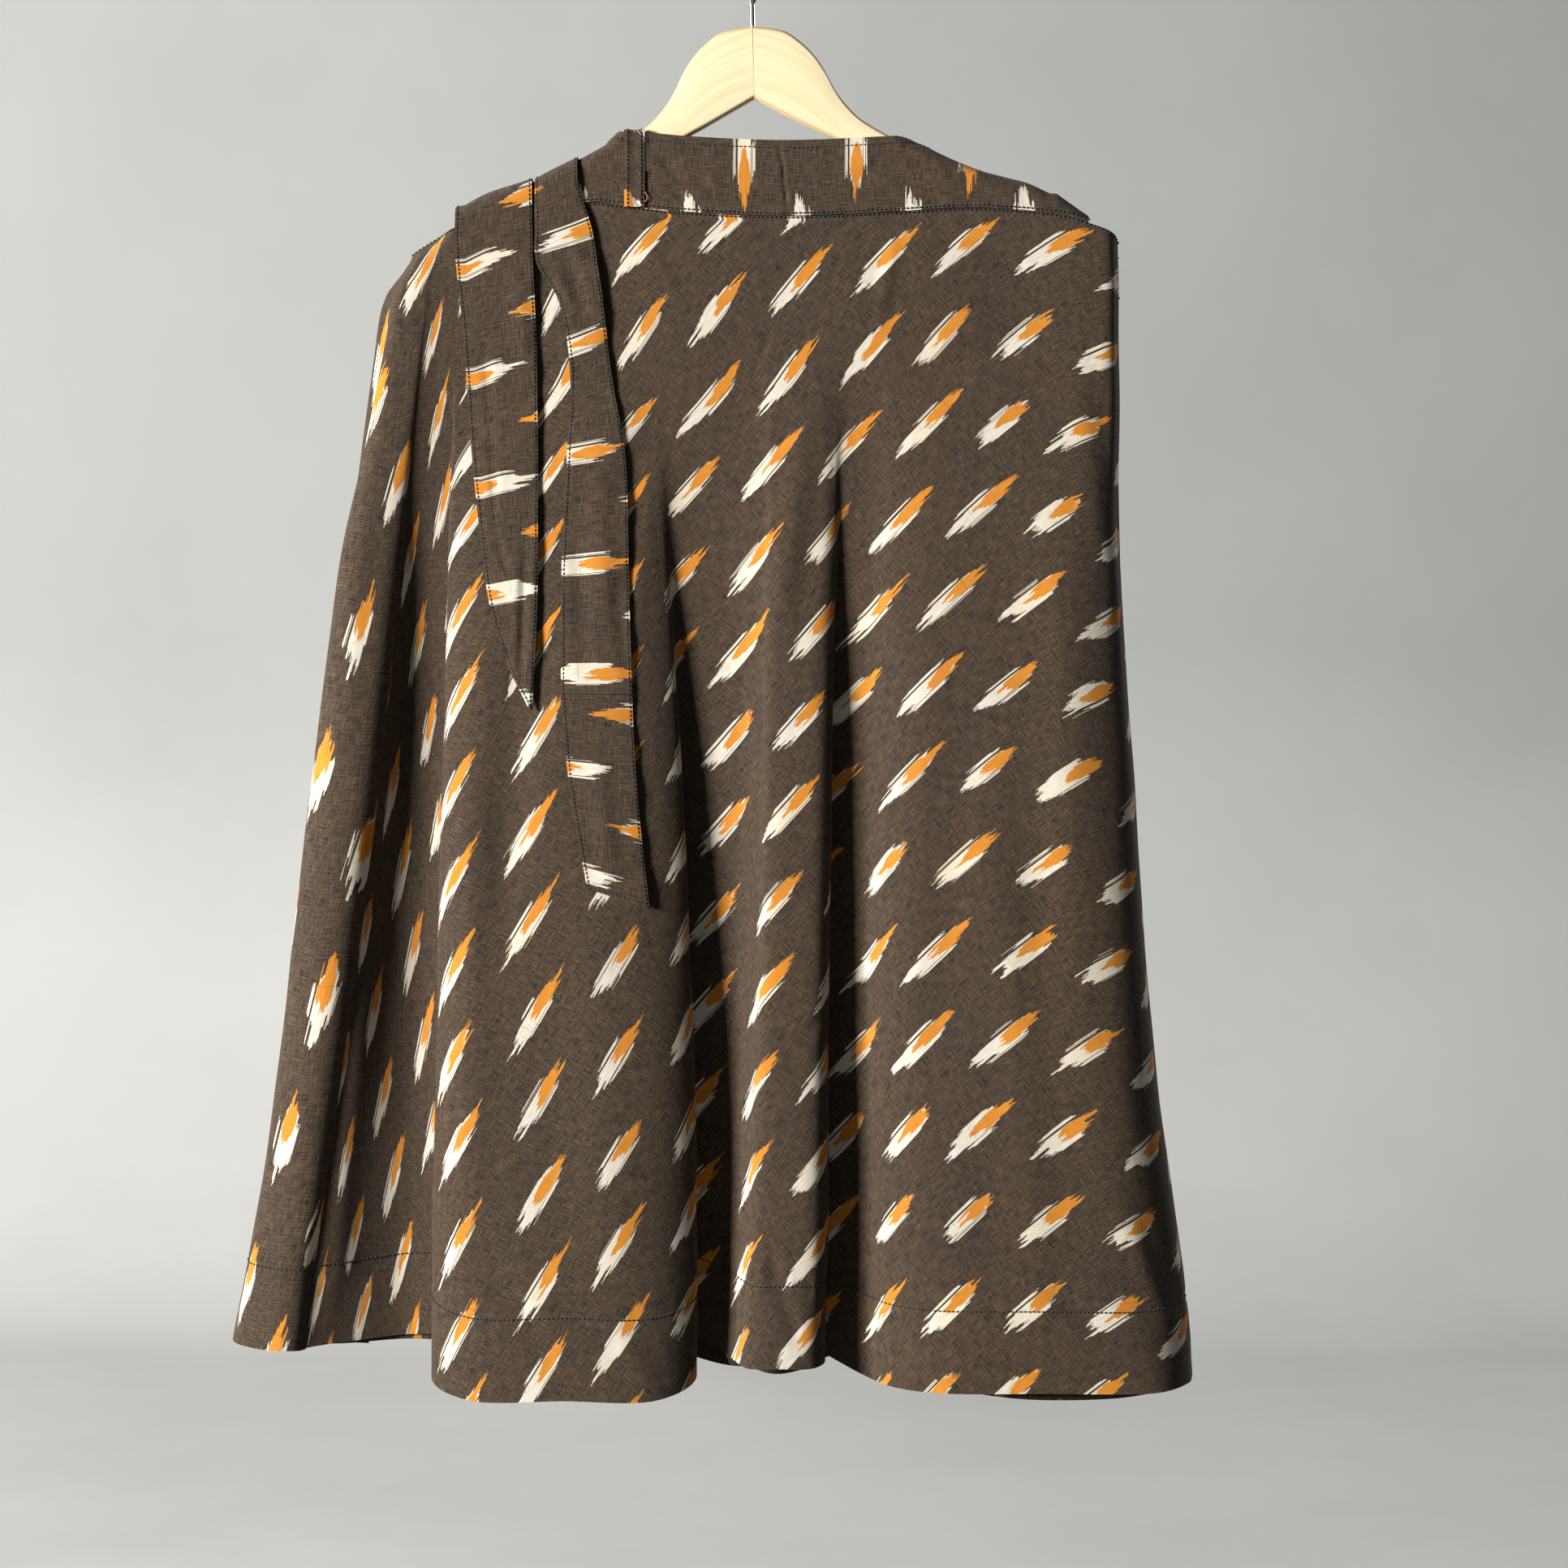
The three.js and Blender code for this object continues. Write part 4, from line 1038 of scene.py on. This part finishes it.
def make_stitch_tree():
    tree = bpy.data.node_groups.new("stitch row", "GeometryNodeTree")
    sizes = [(label, "Float", size * MM) for label, size in STITCH.items()]
    others = ("Seed", "Int", 1), ("Thread", "Material", None)
    for label, kind, default in [("Geometry", "Geometry", None), *sizes, *others]:
        add_socket(tree, label, kind, default=default)
    add_socket(tree, "Geometry", "Geometry", "OUTPUT")
    w = Wires(tree)
    given = w.values(w.node("NodeGroupInput"))
    curve = w.out("GeometryNodeMeshToCurve", {"Mesh": given["Geometry"]})
    pitch = {"Curve": curve, "Length": given["Pitch"]}
    steps = w.out("GeometryNodeResampleCurve", pitch, mode="LENGTH")
    ball = {"Segments": 6, "Rings": 4, "Radius": 0.5}
    grain = w.out("GeometryNodeMeshUVSphere", ball, "Mesh")
    tilts = {0: (-TILT,) * 3, 1: (TILT,) * 3, "Seed": given["Seed"]}
    tilt = w.out("FunctionNodeRandomValue", tilts, data_type="FLOAT_VECTOR")
    tangent = w.out("GeometryNodeInputTangent")
    leaning = w.out("ShaderNodeVectorMath", {0: tangent, 1: tilt}, operation="ADD")
    aim = w.out("FunctionNodeAlignRotationToVector", {"Vector": leaning}, axis="Z")
    size = w.join(given["Width"], given["Width"], given["Length"])
    placed = {"Points": steps, "Instance": grain, "Rotation": aim, "Scale": size}
    real = w.out("GeometryNodeRealizeInstances", {0: w.out("GeometryNodeInstanceOnPoints", placed)})
    painted = w.out("GeometryNodeSetMaterial", {"Geometry": real, "Material": given["Thread"]})
    w.node("NodeGroupOutput", {0: painted})
    return tree


stitch_tree = make_stitch_tree()


def stitch_rows(name, lines, thread, seed, **sizes):
    vertices, edges = [], []
    for line in lines:
        edges += [(len(vertices) + k, len(vertices) + k + 1) for k in range(len(line) - 1)]
        vertices += to_metres(line).tolist()
    mesh = bpy.data.meshes.new(name + "_lines")
    mesh.from_pydata(vertices, edges, [])
    guide = added(name + "_lines", mesh)
    modifier = guide.modifiers.new("stitches", "NODES")
    modifier.node_group = stitch_tree
    values = {label: size * MM for label, size in {**STITCH, **sizes}.items()}
    values.update(Seed=seed, Thread=thread)
    for socket in stitch_tree.interface.items_tree:
        if socket.in_out == "INPUT" and socket.name in values:
            modifier[socket.identifier] = values[socket.name]
    depsgraph = bpy.context.evaluated_depsgraph_get()
    made = bpy.data.meshes.new_from_object(guide.evaluated_get(depsgraph))
    made.name = name
    made.polygons.foreach_set("use_smooth", [True] * len(made.polygons))
    stitches = added(name, made)
    bpy.data.objects.remove(guide)
    print(name, len(made.polygons), "faces")
    return stitches


# %% Thread, and lines that lie on the cloth
def thread_material(name, colour):
    w, give = principled(name, Roughness=0.7, Sheen_Weight=0.2, Specular_IOR_Level=0.3)
    twist = w.noise(w.out("ShaderNodeTexCoord", (), "Object"), 2200.0, 2.0, 0.6)
    dark = tuple(0.55 * part for part in colour[:3]) + (1,)
    return give(Base_Color=w.mix(twist, dark, colour))


dark_thread = thread_material("thread_navy", (0.010, 0.010, 0.016, 1))
orange_thread = thread_material("thread_orange", (0.62, 0.20, 0.03, 1))


STITCH_LIFT = 0.12


def line_on(grid, row_at, thickness, lift=STITCH_LIFT):
    outer = grid + normals_of(grid) * (thickness / 2 + lift)
    columns, rows = np.arange(len(grid)), np.broadcast_to(row_at, len(grid))
    low = np.clip(rows.astype(int), 0, grid.shape[1] - 2)
    return lerp(outer[columns, low], outer[columns, low + 1], (rows - low)[:, None])


def line_at(grid, thickness, down=0.0, up=None, lift=STITCH_LIFT):
    lengths, indices = lengths_down(grid), np.arange(grid.shape[1])
    wanted = np.broadcast_to(down, len(grid)) if up is None else lengths[:, -1] - up
    rows = [np.interp(at, line, indices) for line, at in zip(lengths, wanted)]
    return line_on(grid, np.array(rows), thickness, lift)


# %% Rows of stitches on the skirt and its band
TOPSTITCH_DOWN, SEAM_STITCH_UP, SEAM_CLOSE_DOWN, SEAM_CLOSE_LIFT = 5.0, 1.6, 0.8, 0.2
panel_grids, band_grids = (outer_grid, under_grid, back_grid), (band_grid, back_band_grid)
hem_lines = [line_at(grid, CLOTH_THICKNESS, up=HEM_DEPTH) for grid in panel_grids]
top_lines = [line_at(grid, BAND_THICKNESS, TOPSTITCH_DOWN) for grid in band_grids]
foot_lines = [line_at(grid, BAND_THICKNESS, up=SEAM_STITCH_UP) for grid in band_grids]
close_line = line_at(outer_grid, CLOTH_THICKNESS, SEAM_CLOSE_DOWN, lift=SEAM_CLOSE_LIFT)
seam_lines = [foot_lines[0], close_line[fold_column:], foot_lines[1]]
hem_stitches = stitch_rows("hem_stitches", hem_lines, dark_thread, 3, Width=1.25)
band_stitches = stitch_rows("band_stitches", top_lines, dark_thread, 5)
seam_stitches = stitch_rows("seam_stitches", seam_lines, dark_thread, 7, Length=2.3, Width=1.4)

# %% Rows of stitches on the ties and the loop
TIE_EDGE_INSET, LOOP_EDGE_INSET = 1.7, 2.4
TIE_SEAM_ROWS, LOOP_FRONT_ROW = (1.2, 48.2), 5


def edge_line(grid, side, inset, thickness):
    outer = grid + normals_of(grid) * (thickness / 2 + STITCH_LIFT)
    columns = outer if side < 0 else outer[::-1]
    widths = np.maximum(np.linalg.norm(columns[-1] - columns[0], axis=-1), 1e-6)
    share = np.minimum(inset / widths, 0.5) * (len(grid) - 1)
    low = np.minimum(share.astype(int), len(grid) - 2)
    at = np.arange(grid.shape[1])
    return lerp(columns[low, at], columns[low + 1, at], (share - low)[:, None])


tie_lines = [
    edge_line(shape, side, TIE_EDGE_INSET, TIE_THICKNESS)
    for shape in tie_shapes.values() for side in (-1, 1)
]
tie_lines += [line_on(tie_shapes["right_tie_end"], row, TIE_THICKNESS) for row in TIE_SEAM_ROWS]
loop_lines = [
    edge_line(loop_grid, side, LOOP_EDGE_INSET, LOOP["cloth"])[LOOP_FRONT_ROW:] for side in (-1, 1)
]
tie_stitches = stitch_rows(
    "tie_stitches", tie_lines, dark_thread, 11, Pitch=2.8, Length=2.2, Width=0.85,
)
loop_stitches = stitch_rows(
    "loop_stitches", loop_lines, dark_thread, 13, Pitch=2.6, Length=2.2, Width=0.9,
)

# %% [markdown]
# ## The hanger
# The hanger is a flat V-shaped board, sawn from pale wood in two halves that are glued in the middle.
# Its section is a rectangle with routed, rounded edges, so each arm is a row of such sections that
# follows the two edges of the board. The rounding is painted darker: partly the darker wood of the
# routed edge, partly painted shade where the bevel turns away from the light.

# %% Wood
def make_grain():
    w, given, give = shader_group("wood grain", {"Across": 900.0, "Along": 14.0}, ("Lines", "Pores"))
    x, y, z = w.split(given["Vector"])
    stretched = w.join(x * given["Along"], y * given["Across"], z * 200.0)
    pores = w.spread(w.noise(stretched, 1.9, 2.0, 0.5), 0.62, 0.74)
    return give(Lines=w.noise(stretched, 0.35, 4.0, 0.6), Pores=pores)


def wood_material():
    w, give = principled("hanger_wood", Roughness=0.42, Coat_Weight=0.15, Coat_Roughness=0.25)
    grain = w.group(make_grain(), Vector=w.out("ShaderNodeUVMap", uv_map="cloth"))
    edge = w.out("ShaderNodeAttribute", (), "Fac", attribute_name="edge")
    pale = w.mix(w.spread(grain["Lines"], 0.3, 0.7), (0.75, 0.61, 0.36, 1), (0.85, 0.74, 0.49, 1))
    # The rounded edges are darkened: partly the routed edge's own darker wood, partly painted shade
    # of the bevel.
    routed_edge_and_shade = w.mix(edge**1.5, pale, (0.60, 0.42, 0.20, 1))
    marked = w.mix(grain["Pores"] * 0.25, routed_edge_and_shade, (0.36, 0.22, 0.10, 1))
    return give(Base_Color=marked, Normal=w.bump(grain["Lines"], 0.25, 0.0002))


# %% The two arms
BOARD_HALF, ROUNDING = 5.0, 3.0
JOINT_HALF = 0.15
TIP_START, TIP_LENGTH, TIP_TURN = 196.0, 8.0, (0.12, 1.54)
GRAIN_START, GRAIN_SLANT = 500, 0.7


def board_section(top, under, turns=7):
    half, middle = (under - top) / 2, (top + under) / 2
    radius = min(ROUNDING, half * 0.98)
    ring, edge = [], []
    for corner, (side_y, side_z) in enumerate(((-1, -1), (-1, 1), (1, 1), (1, -1))):
        for angle in np.linspace(0, math.pi / 2, turns):
            turn = -math.pi / 2 - corner * math.pi / 2 - angle
            ring.append((
                side_y * (BOARD_HALF - radius) + radius * math.cos(turn),
                middle + side_z * (half - radius) + radius * math.sin(turn),
            ))
            edge.append(math.sin(2 * angle))
    return ring, edge


def tilted(points):
    x, y, z = np.array(points, float).T
    cos, sin = math.cos(HANGER_TILT), math.sin(HANGER_TILT)
    return np.stack([x * cos - z * sin, y, x * sin + z * cos], -1)


def loft_faces(rings, sides):
    faces = []
    for a in range(0, (rings - 1) * sides, sides):
        around = [(a + k, a + (k + 1) % sides) for k in range(sides)]
        faces += [(this, after, after + sides, this + sides) for this, after in around]
    return [*faces, tuple(range(sides))[::-1], tuple(range((rings - 1) * sides, rings * sides))]


def hanger_arm(name, side, material):
    tip = TIP_START + TIP_LENGTH * np.sin(np.linspace(*TIP_TURN, 12))
    outs = np.concatenate([np.linspace(JOINT_HALF, TIP_START, 110), tip])
    tops, unders = (read(ARM, "out", outs, edge) for edge in ("top", "under"))
    past = np.clip((outs - TIP_START) / TIP_LENGTH, 0, 0.999)
    middle, half = (tops + unders) / 2, (unders - tops) / 2 * np.sqrt(1 - past**2)
    run = np.concatenate([[0], np.cumsum(np.hypot(np.diff(outs), np.diff(middle)))])
    vertices, edges, uvs = [], [], []
    for out, centre, tall, length in zip(outs, middle, half, run):
        ring, edge = board_section(centre - tall, centre + tall)
        edges += edge
        vertices += [(side * out, y, -down) for y, down in ring]
        along_grain = side * length + GRAIN_START
        uvs += [(along_grain * MM, (down - centre + y * GRAIN_SLANT) * MM) for y, down in ring]
    faces = [face[::side] for face in loft_faces(len(outs), len(ring))]
    arm = new_mesh(name, to_metres(tilted(vertices), 0), faces, uvs, material)
    # The edge attribute masks the darker rounding, which is partly painted shade.
    arm.data.attributes.new("edge", "FLOAT", "POINT").data.foreach_set("value", edges)
    return arm


wood = wood_material()
left_arm = hanger_arm("left_arm", -1, wood)
right_arm = hanger_arm("right_arm", 1, wood)
print("arms", len(left_arm.data.polygons), "faces each")

# %% [markdown]
# The hook is bent from one wire: a round crook, a short neck and a straight shank in the wood. A tube
# is swept along it by carrying a ring of points from step to step.

# %% The hook
WIRE, CROOK, SHANK_END = 1.9, 18.0, 86.0


def chrome_material():
    w, give = principled("hook_steel", Metallic=1.0, Specular_IOR_Level=0.5)
    scuffs = w.noise(w.out("ShaderNodeTexCoord", (), "Object"), 900.0, 3.0, 0.6)
    bright = w.mix(scuffs, (0.55, 0.55, 0.56, 1), (0.72, 0.72, 0.73, 1))
    return give(Base_Color=bright, Roughness=w.spread(scuffs, 0.3, 0.7, 0.12, 0.28))


def tube(name, path, radius, material, sides=16, shift=0.0):
    tangents = np.gradient(path, axis=0)
    tangents /= np.linalg.norm(tangents, axis=1, keepdims=True)
    guide = np.array([0, 1.0, 0]) if abs(tangents[0][1]) < 0.9 else np.array([1.0, 0, 0])
    vertices = []
    for point, tangent in zip(path, tangents):
        guide = guide - tangent * np.dot(guide, tangent)
        guide /= np.linalg.norm(guide)
        other = np.cross(tangent, guide)
        for turn in np.linspace(0, 2 * math.pi, sides, endpoint=False):
            vertices.append(point + radius * (math.cos(turn) * guide + math.sin(turn) * other))
    return new_mesh(name, to_metres(vertices, shift), loft_faces(len(path), sides), None, material)


crook_turns = np.radians(np.linspace(200, -60, 60))
crook_radius = CROOK + WIRE
crook = [(crook_radius * math.cos(a), 0, crook_radius * math.sin(a) - CROOK) for a in crook_turns]
neck = (3.2, 0, -39.8), (0.3, 0, -44.5), (0, 0, -50), (0, 0, -66), (0, 0, -SHANK_END)
hook_path = tilted(smooth_path([*crook, *neck], 260))
hook = tube("wire_hook", hook_path, WIRE, chrome_material())
print("hook", len(hook.data.polygons), "faces")

# %% [markdown]
# A loose end of orange thread stands out beside the foot of the belt loop. Such a small accident is
# worth a tube of its own, because it shows that the garment was sewn by hand.

# %% The loose thread
THREAD = 0.35
thread_turns = (
    (-75.2, -9.9, -173.0), (-73.4, -10.6, -174.6), (-71.9, -11.0, -177.5), (-72.6, -10.9, -180.4),
    (-74.4, -10.5, -180.9), (-75.6, -9.9, -178.8),
)
loose_thread = tube(
    "loose_thread", smooth_path(thread_turns, 50), THREAD, orange_thread, 8, CLOTH_SHIFT,
)
print("loose thread", len(loose_thread.data.polygons), "faces")

# %% [markdown]
# ## Floor, backdrop and light
# The floor runs up into a wall without an edge, as in a photo studio. It stands far enough behind the
# skirt that pictures from the back are taken in front of it. Its front part is darker, so that little
# light comes up from below. One large soft light from the front left draws the folds, and weaker ones
# keep the dark valleys open.

# %% The studio
FLOOR_Z, WALL_Y, WALL_TOP, CURVE, SWEEP_HALF = -1.35, 3.3, 3.2, 0.9, 14


def studio_sweep():
    turns = np.linspace(0, math.pi / 2, 16)
    profile = [(-SWEEP_HALF, FLOOR_Z)]
    profile += [
        (WALL_Y - CURVE + CURVE * math.sin(a), FLOOR_Z + CURVE - CURVE * math.cos(a)) for a in turns
    ]
    profile.append((WALL_Y, WALL_TOP))
    vertices = [(x, y, z) for x in (-SWEEP_HALF, SWEEP_HALF) for y, z in profile]
    count = len(profile)
    faces = [(k, k + 1, count + k + 1, count + k)[::-1] for k in range(count - 1)]
    w, give = principled("studio_paper", Roughness=0.95, Specular_IOR_Level=0.1)
    place = w.out("ShaderNodeTexCoord", (), "Object")
    x, y, z = w.split(place)
    # Painted light: the paper is made paler towards the floor, where more light falls on it.
    low = w.spread(z, FLOOR_Z, FLOOR_Z + 1.0, 1.0, 0.0)
    paper = w.mix(low, (0.42, 0.423, 0.415, 1), (0.60, 0.60, 0.585, 1))
    # Painted shade: the paper darkens towards the right, away from the light on the left.
    painted_shade_right = w.mix(w.spread(x, -0.2, 1.6), paper, (0.74, 0.74, 0.74, 1), "MULTIPLY")
    dimmed = w.mix(w.spread(y, 0.2, 1.1, 1.0, 0.0), painted_shade_right, (0.22, 0.22, 0.22, 1), "MULTIPLY")
    cloudy = w.spread(w.noise(place, 2.3, 5.0, 0.6), 0.2, 0.8, 0.93, 1.06)
    paper = give(Base_Color=w.mix(1.0, dimmed, w.join(cloudy, cloudy, cloudy), "MULTIPLY"))
    return new_mesh("studio_floor", vertices, faces, None, paper)


studio_sweep()


def area_light(name, place, aim, size, watts, colour=(1, 1, 1)):
    data = bpy.data.lights.new(name, "AREA")
    data.size, data.energy, data.color = size, watts, colour
    light = added(name, data)
    light.location = place
    light.rotation_euler = (Vector(aim) - Vector(place)).to_track_quat("-Z", "Y").to_euler()


area_light("key", (-4.65, -2.9, 0.3), (0, 0, -0.55), 1.3, 770, (1.0, 0.985, 0.955))
area_light("front_fill", (0.8, -3.4, 0.2), (0, 0, -0.6), 1.8, 4, (0.97, 0.98, 1.0))
area_light("wall_light", (-3.6, 1.0, 1.6), (-0.6, 3.3, -0.7), 1.5, 44)
area_light("back_light", (2.8, 1.7, 0.9), (0, 0, -0.6), 1.6, 45)
world = bpy.data.worlds.new("studio")
world.use_nodes = True
background = world.node_tree.nodes["Background"].inputs
background["Color"].default_value = (0.62, 0.63, 0.64, 1)
background["Strength"].default_value = 0.035
bpy.context.scene.world = world
bpy.context.scene.view_settings.view_transform = "Standard"

# %% [markdown]
# ## Hide the solids and attach the pieces
# Each shell stands for the solid of the same form, which is hidden. Every piece is attached to the
# root body.


def mark(piece, slot_name, *nodes):
    if nodes:
        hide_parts(*nodes)
    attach(piece, "root")


for piece, node in (
    (outer_wrap, "wrap_front"), (under_wrap, "wrap_under"), (back_panel, "skirt_back"),
    (front_band, "waistband_front"), (back_band, "waistband_back"), (belt_loop, "belt_loop"),
    (tie_pieces["left_tie"], "tie_left"), (tie_pieces["right_tie"], "tie_right"),
    (tie_pieces["right_tie_end"], "tie_right_end"),
):
    mark(piece, "ikat_cotton", node)
for piece in (hem_stitches, band_stitches, seam_stitches, tie_stitches, loop_stitches, loose_thread):
    mark(piece, "ikat_cotton")
mark(left_arm, "hanger_wood", "hanger_arm_left")
mark(right_arm, "hanger_wood", "hanger_arm_right")
mark(hook, "hook_steel", "hanger_hook")
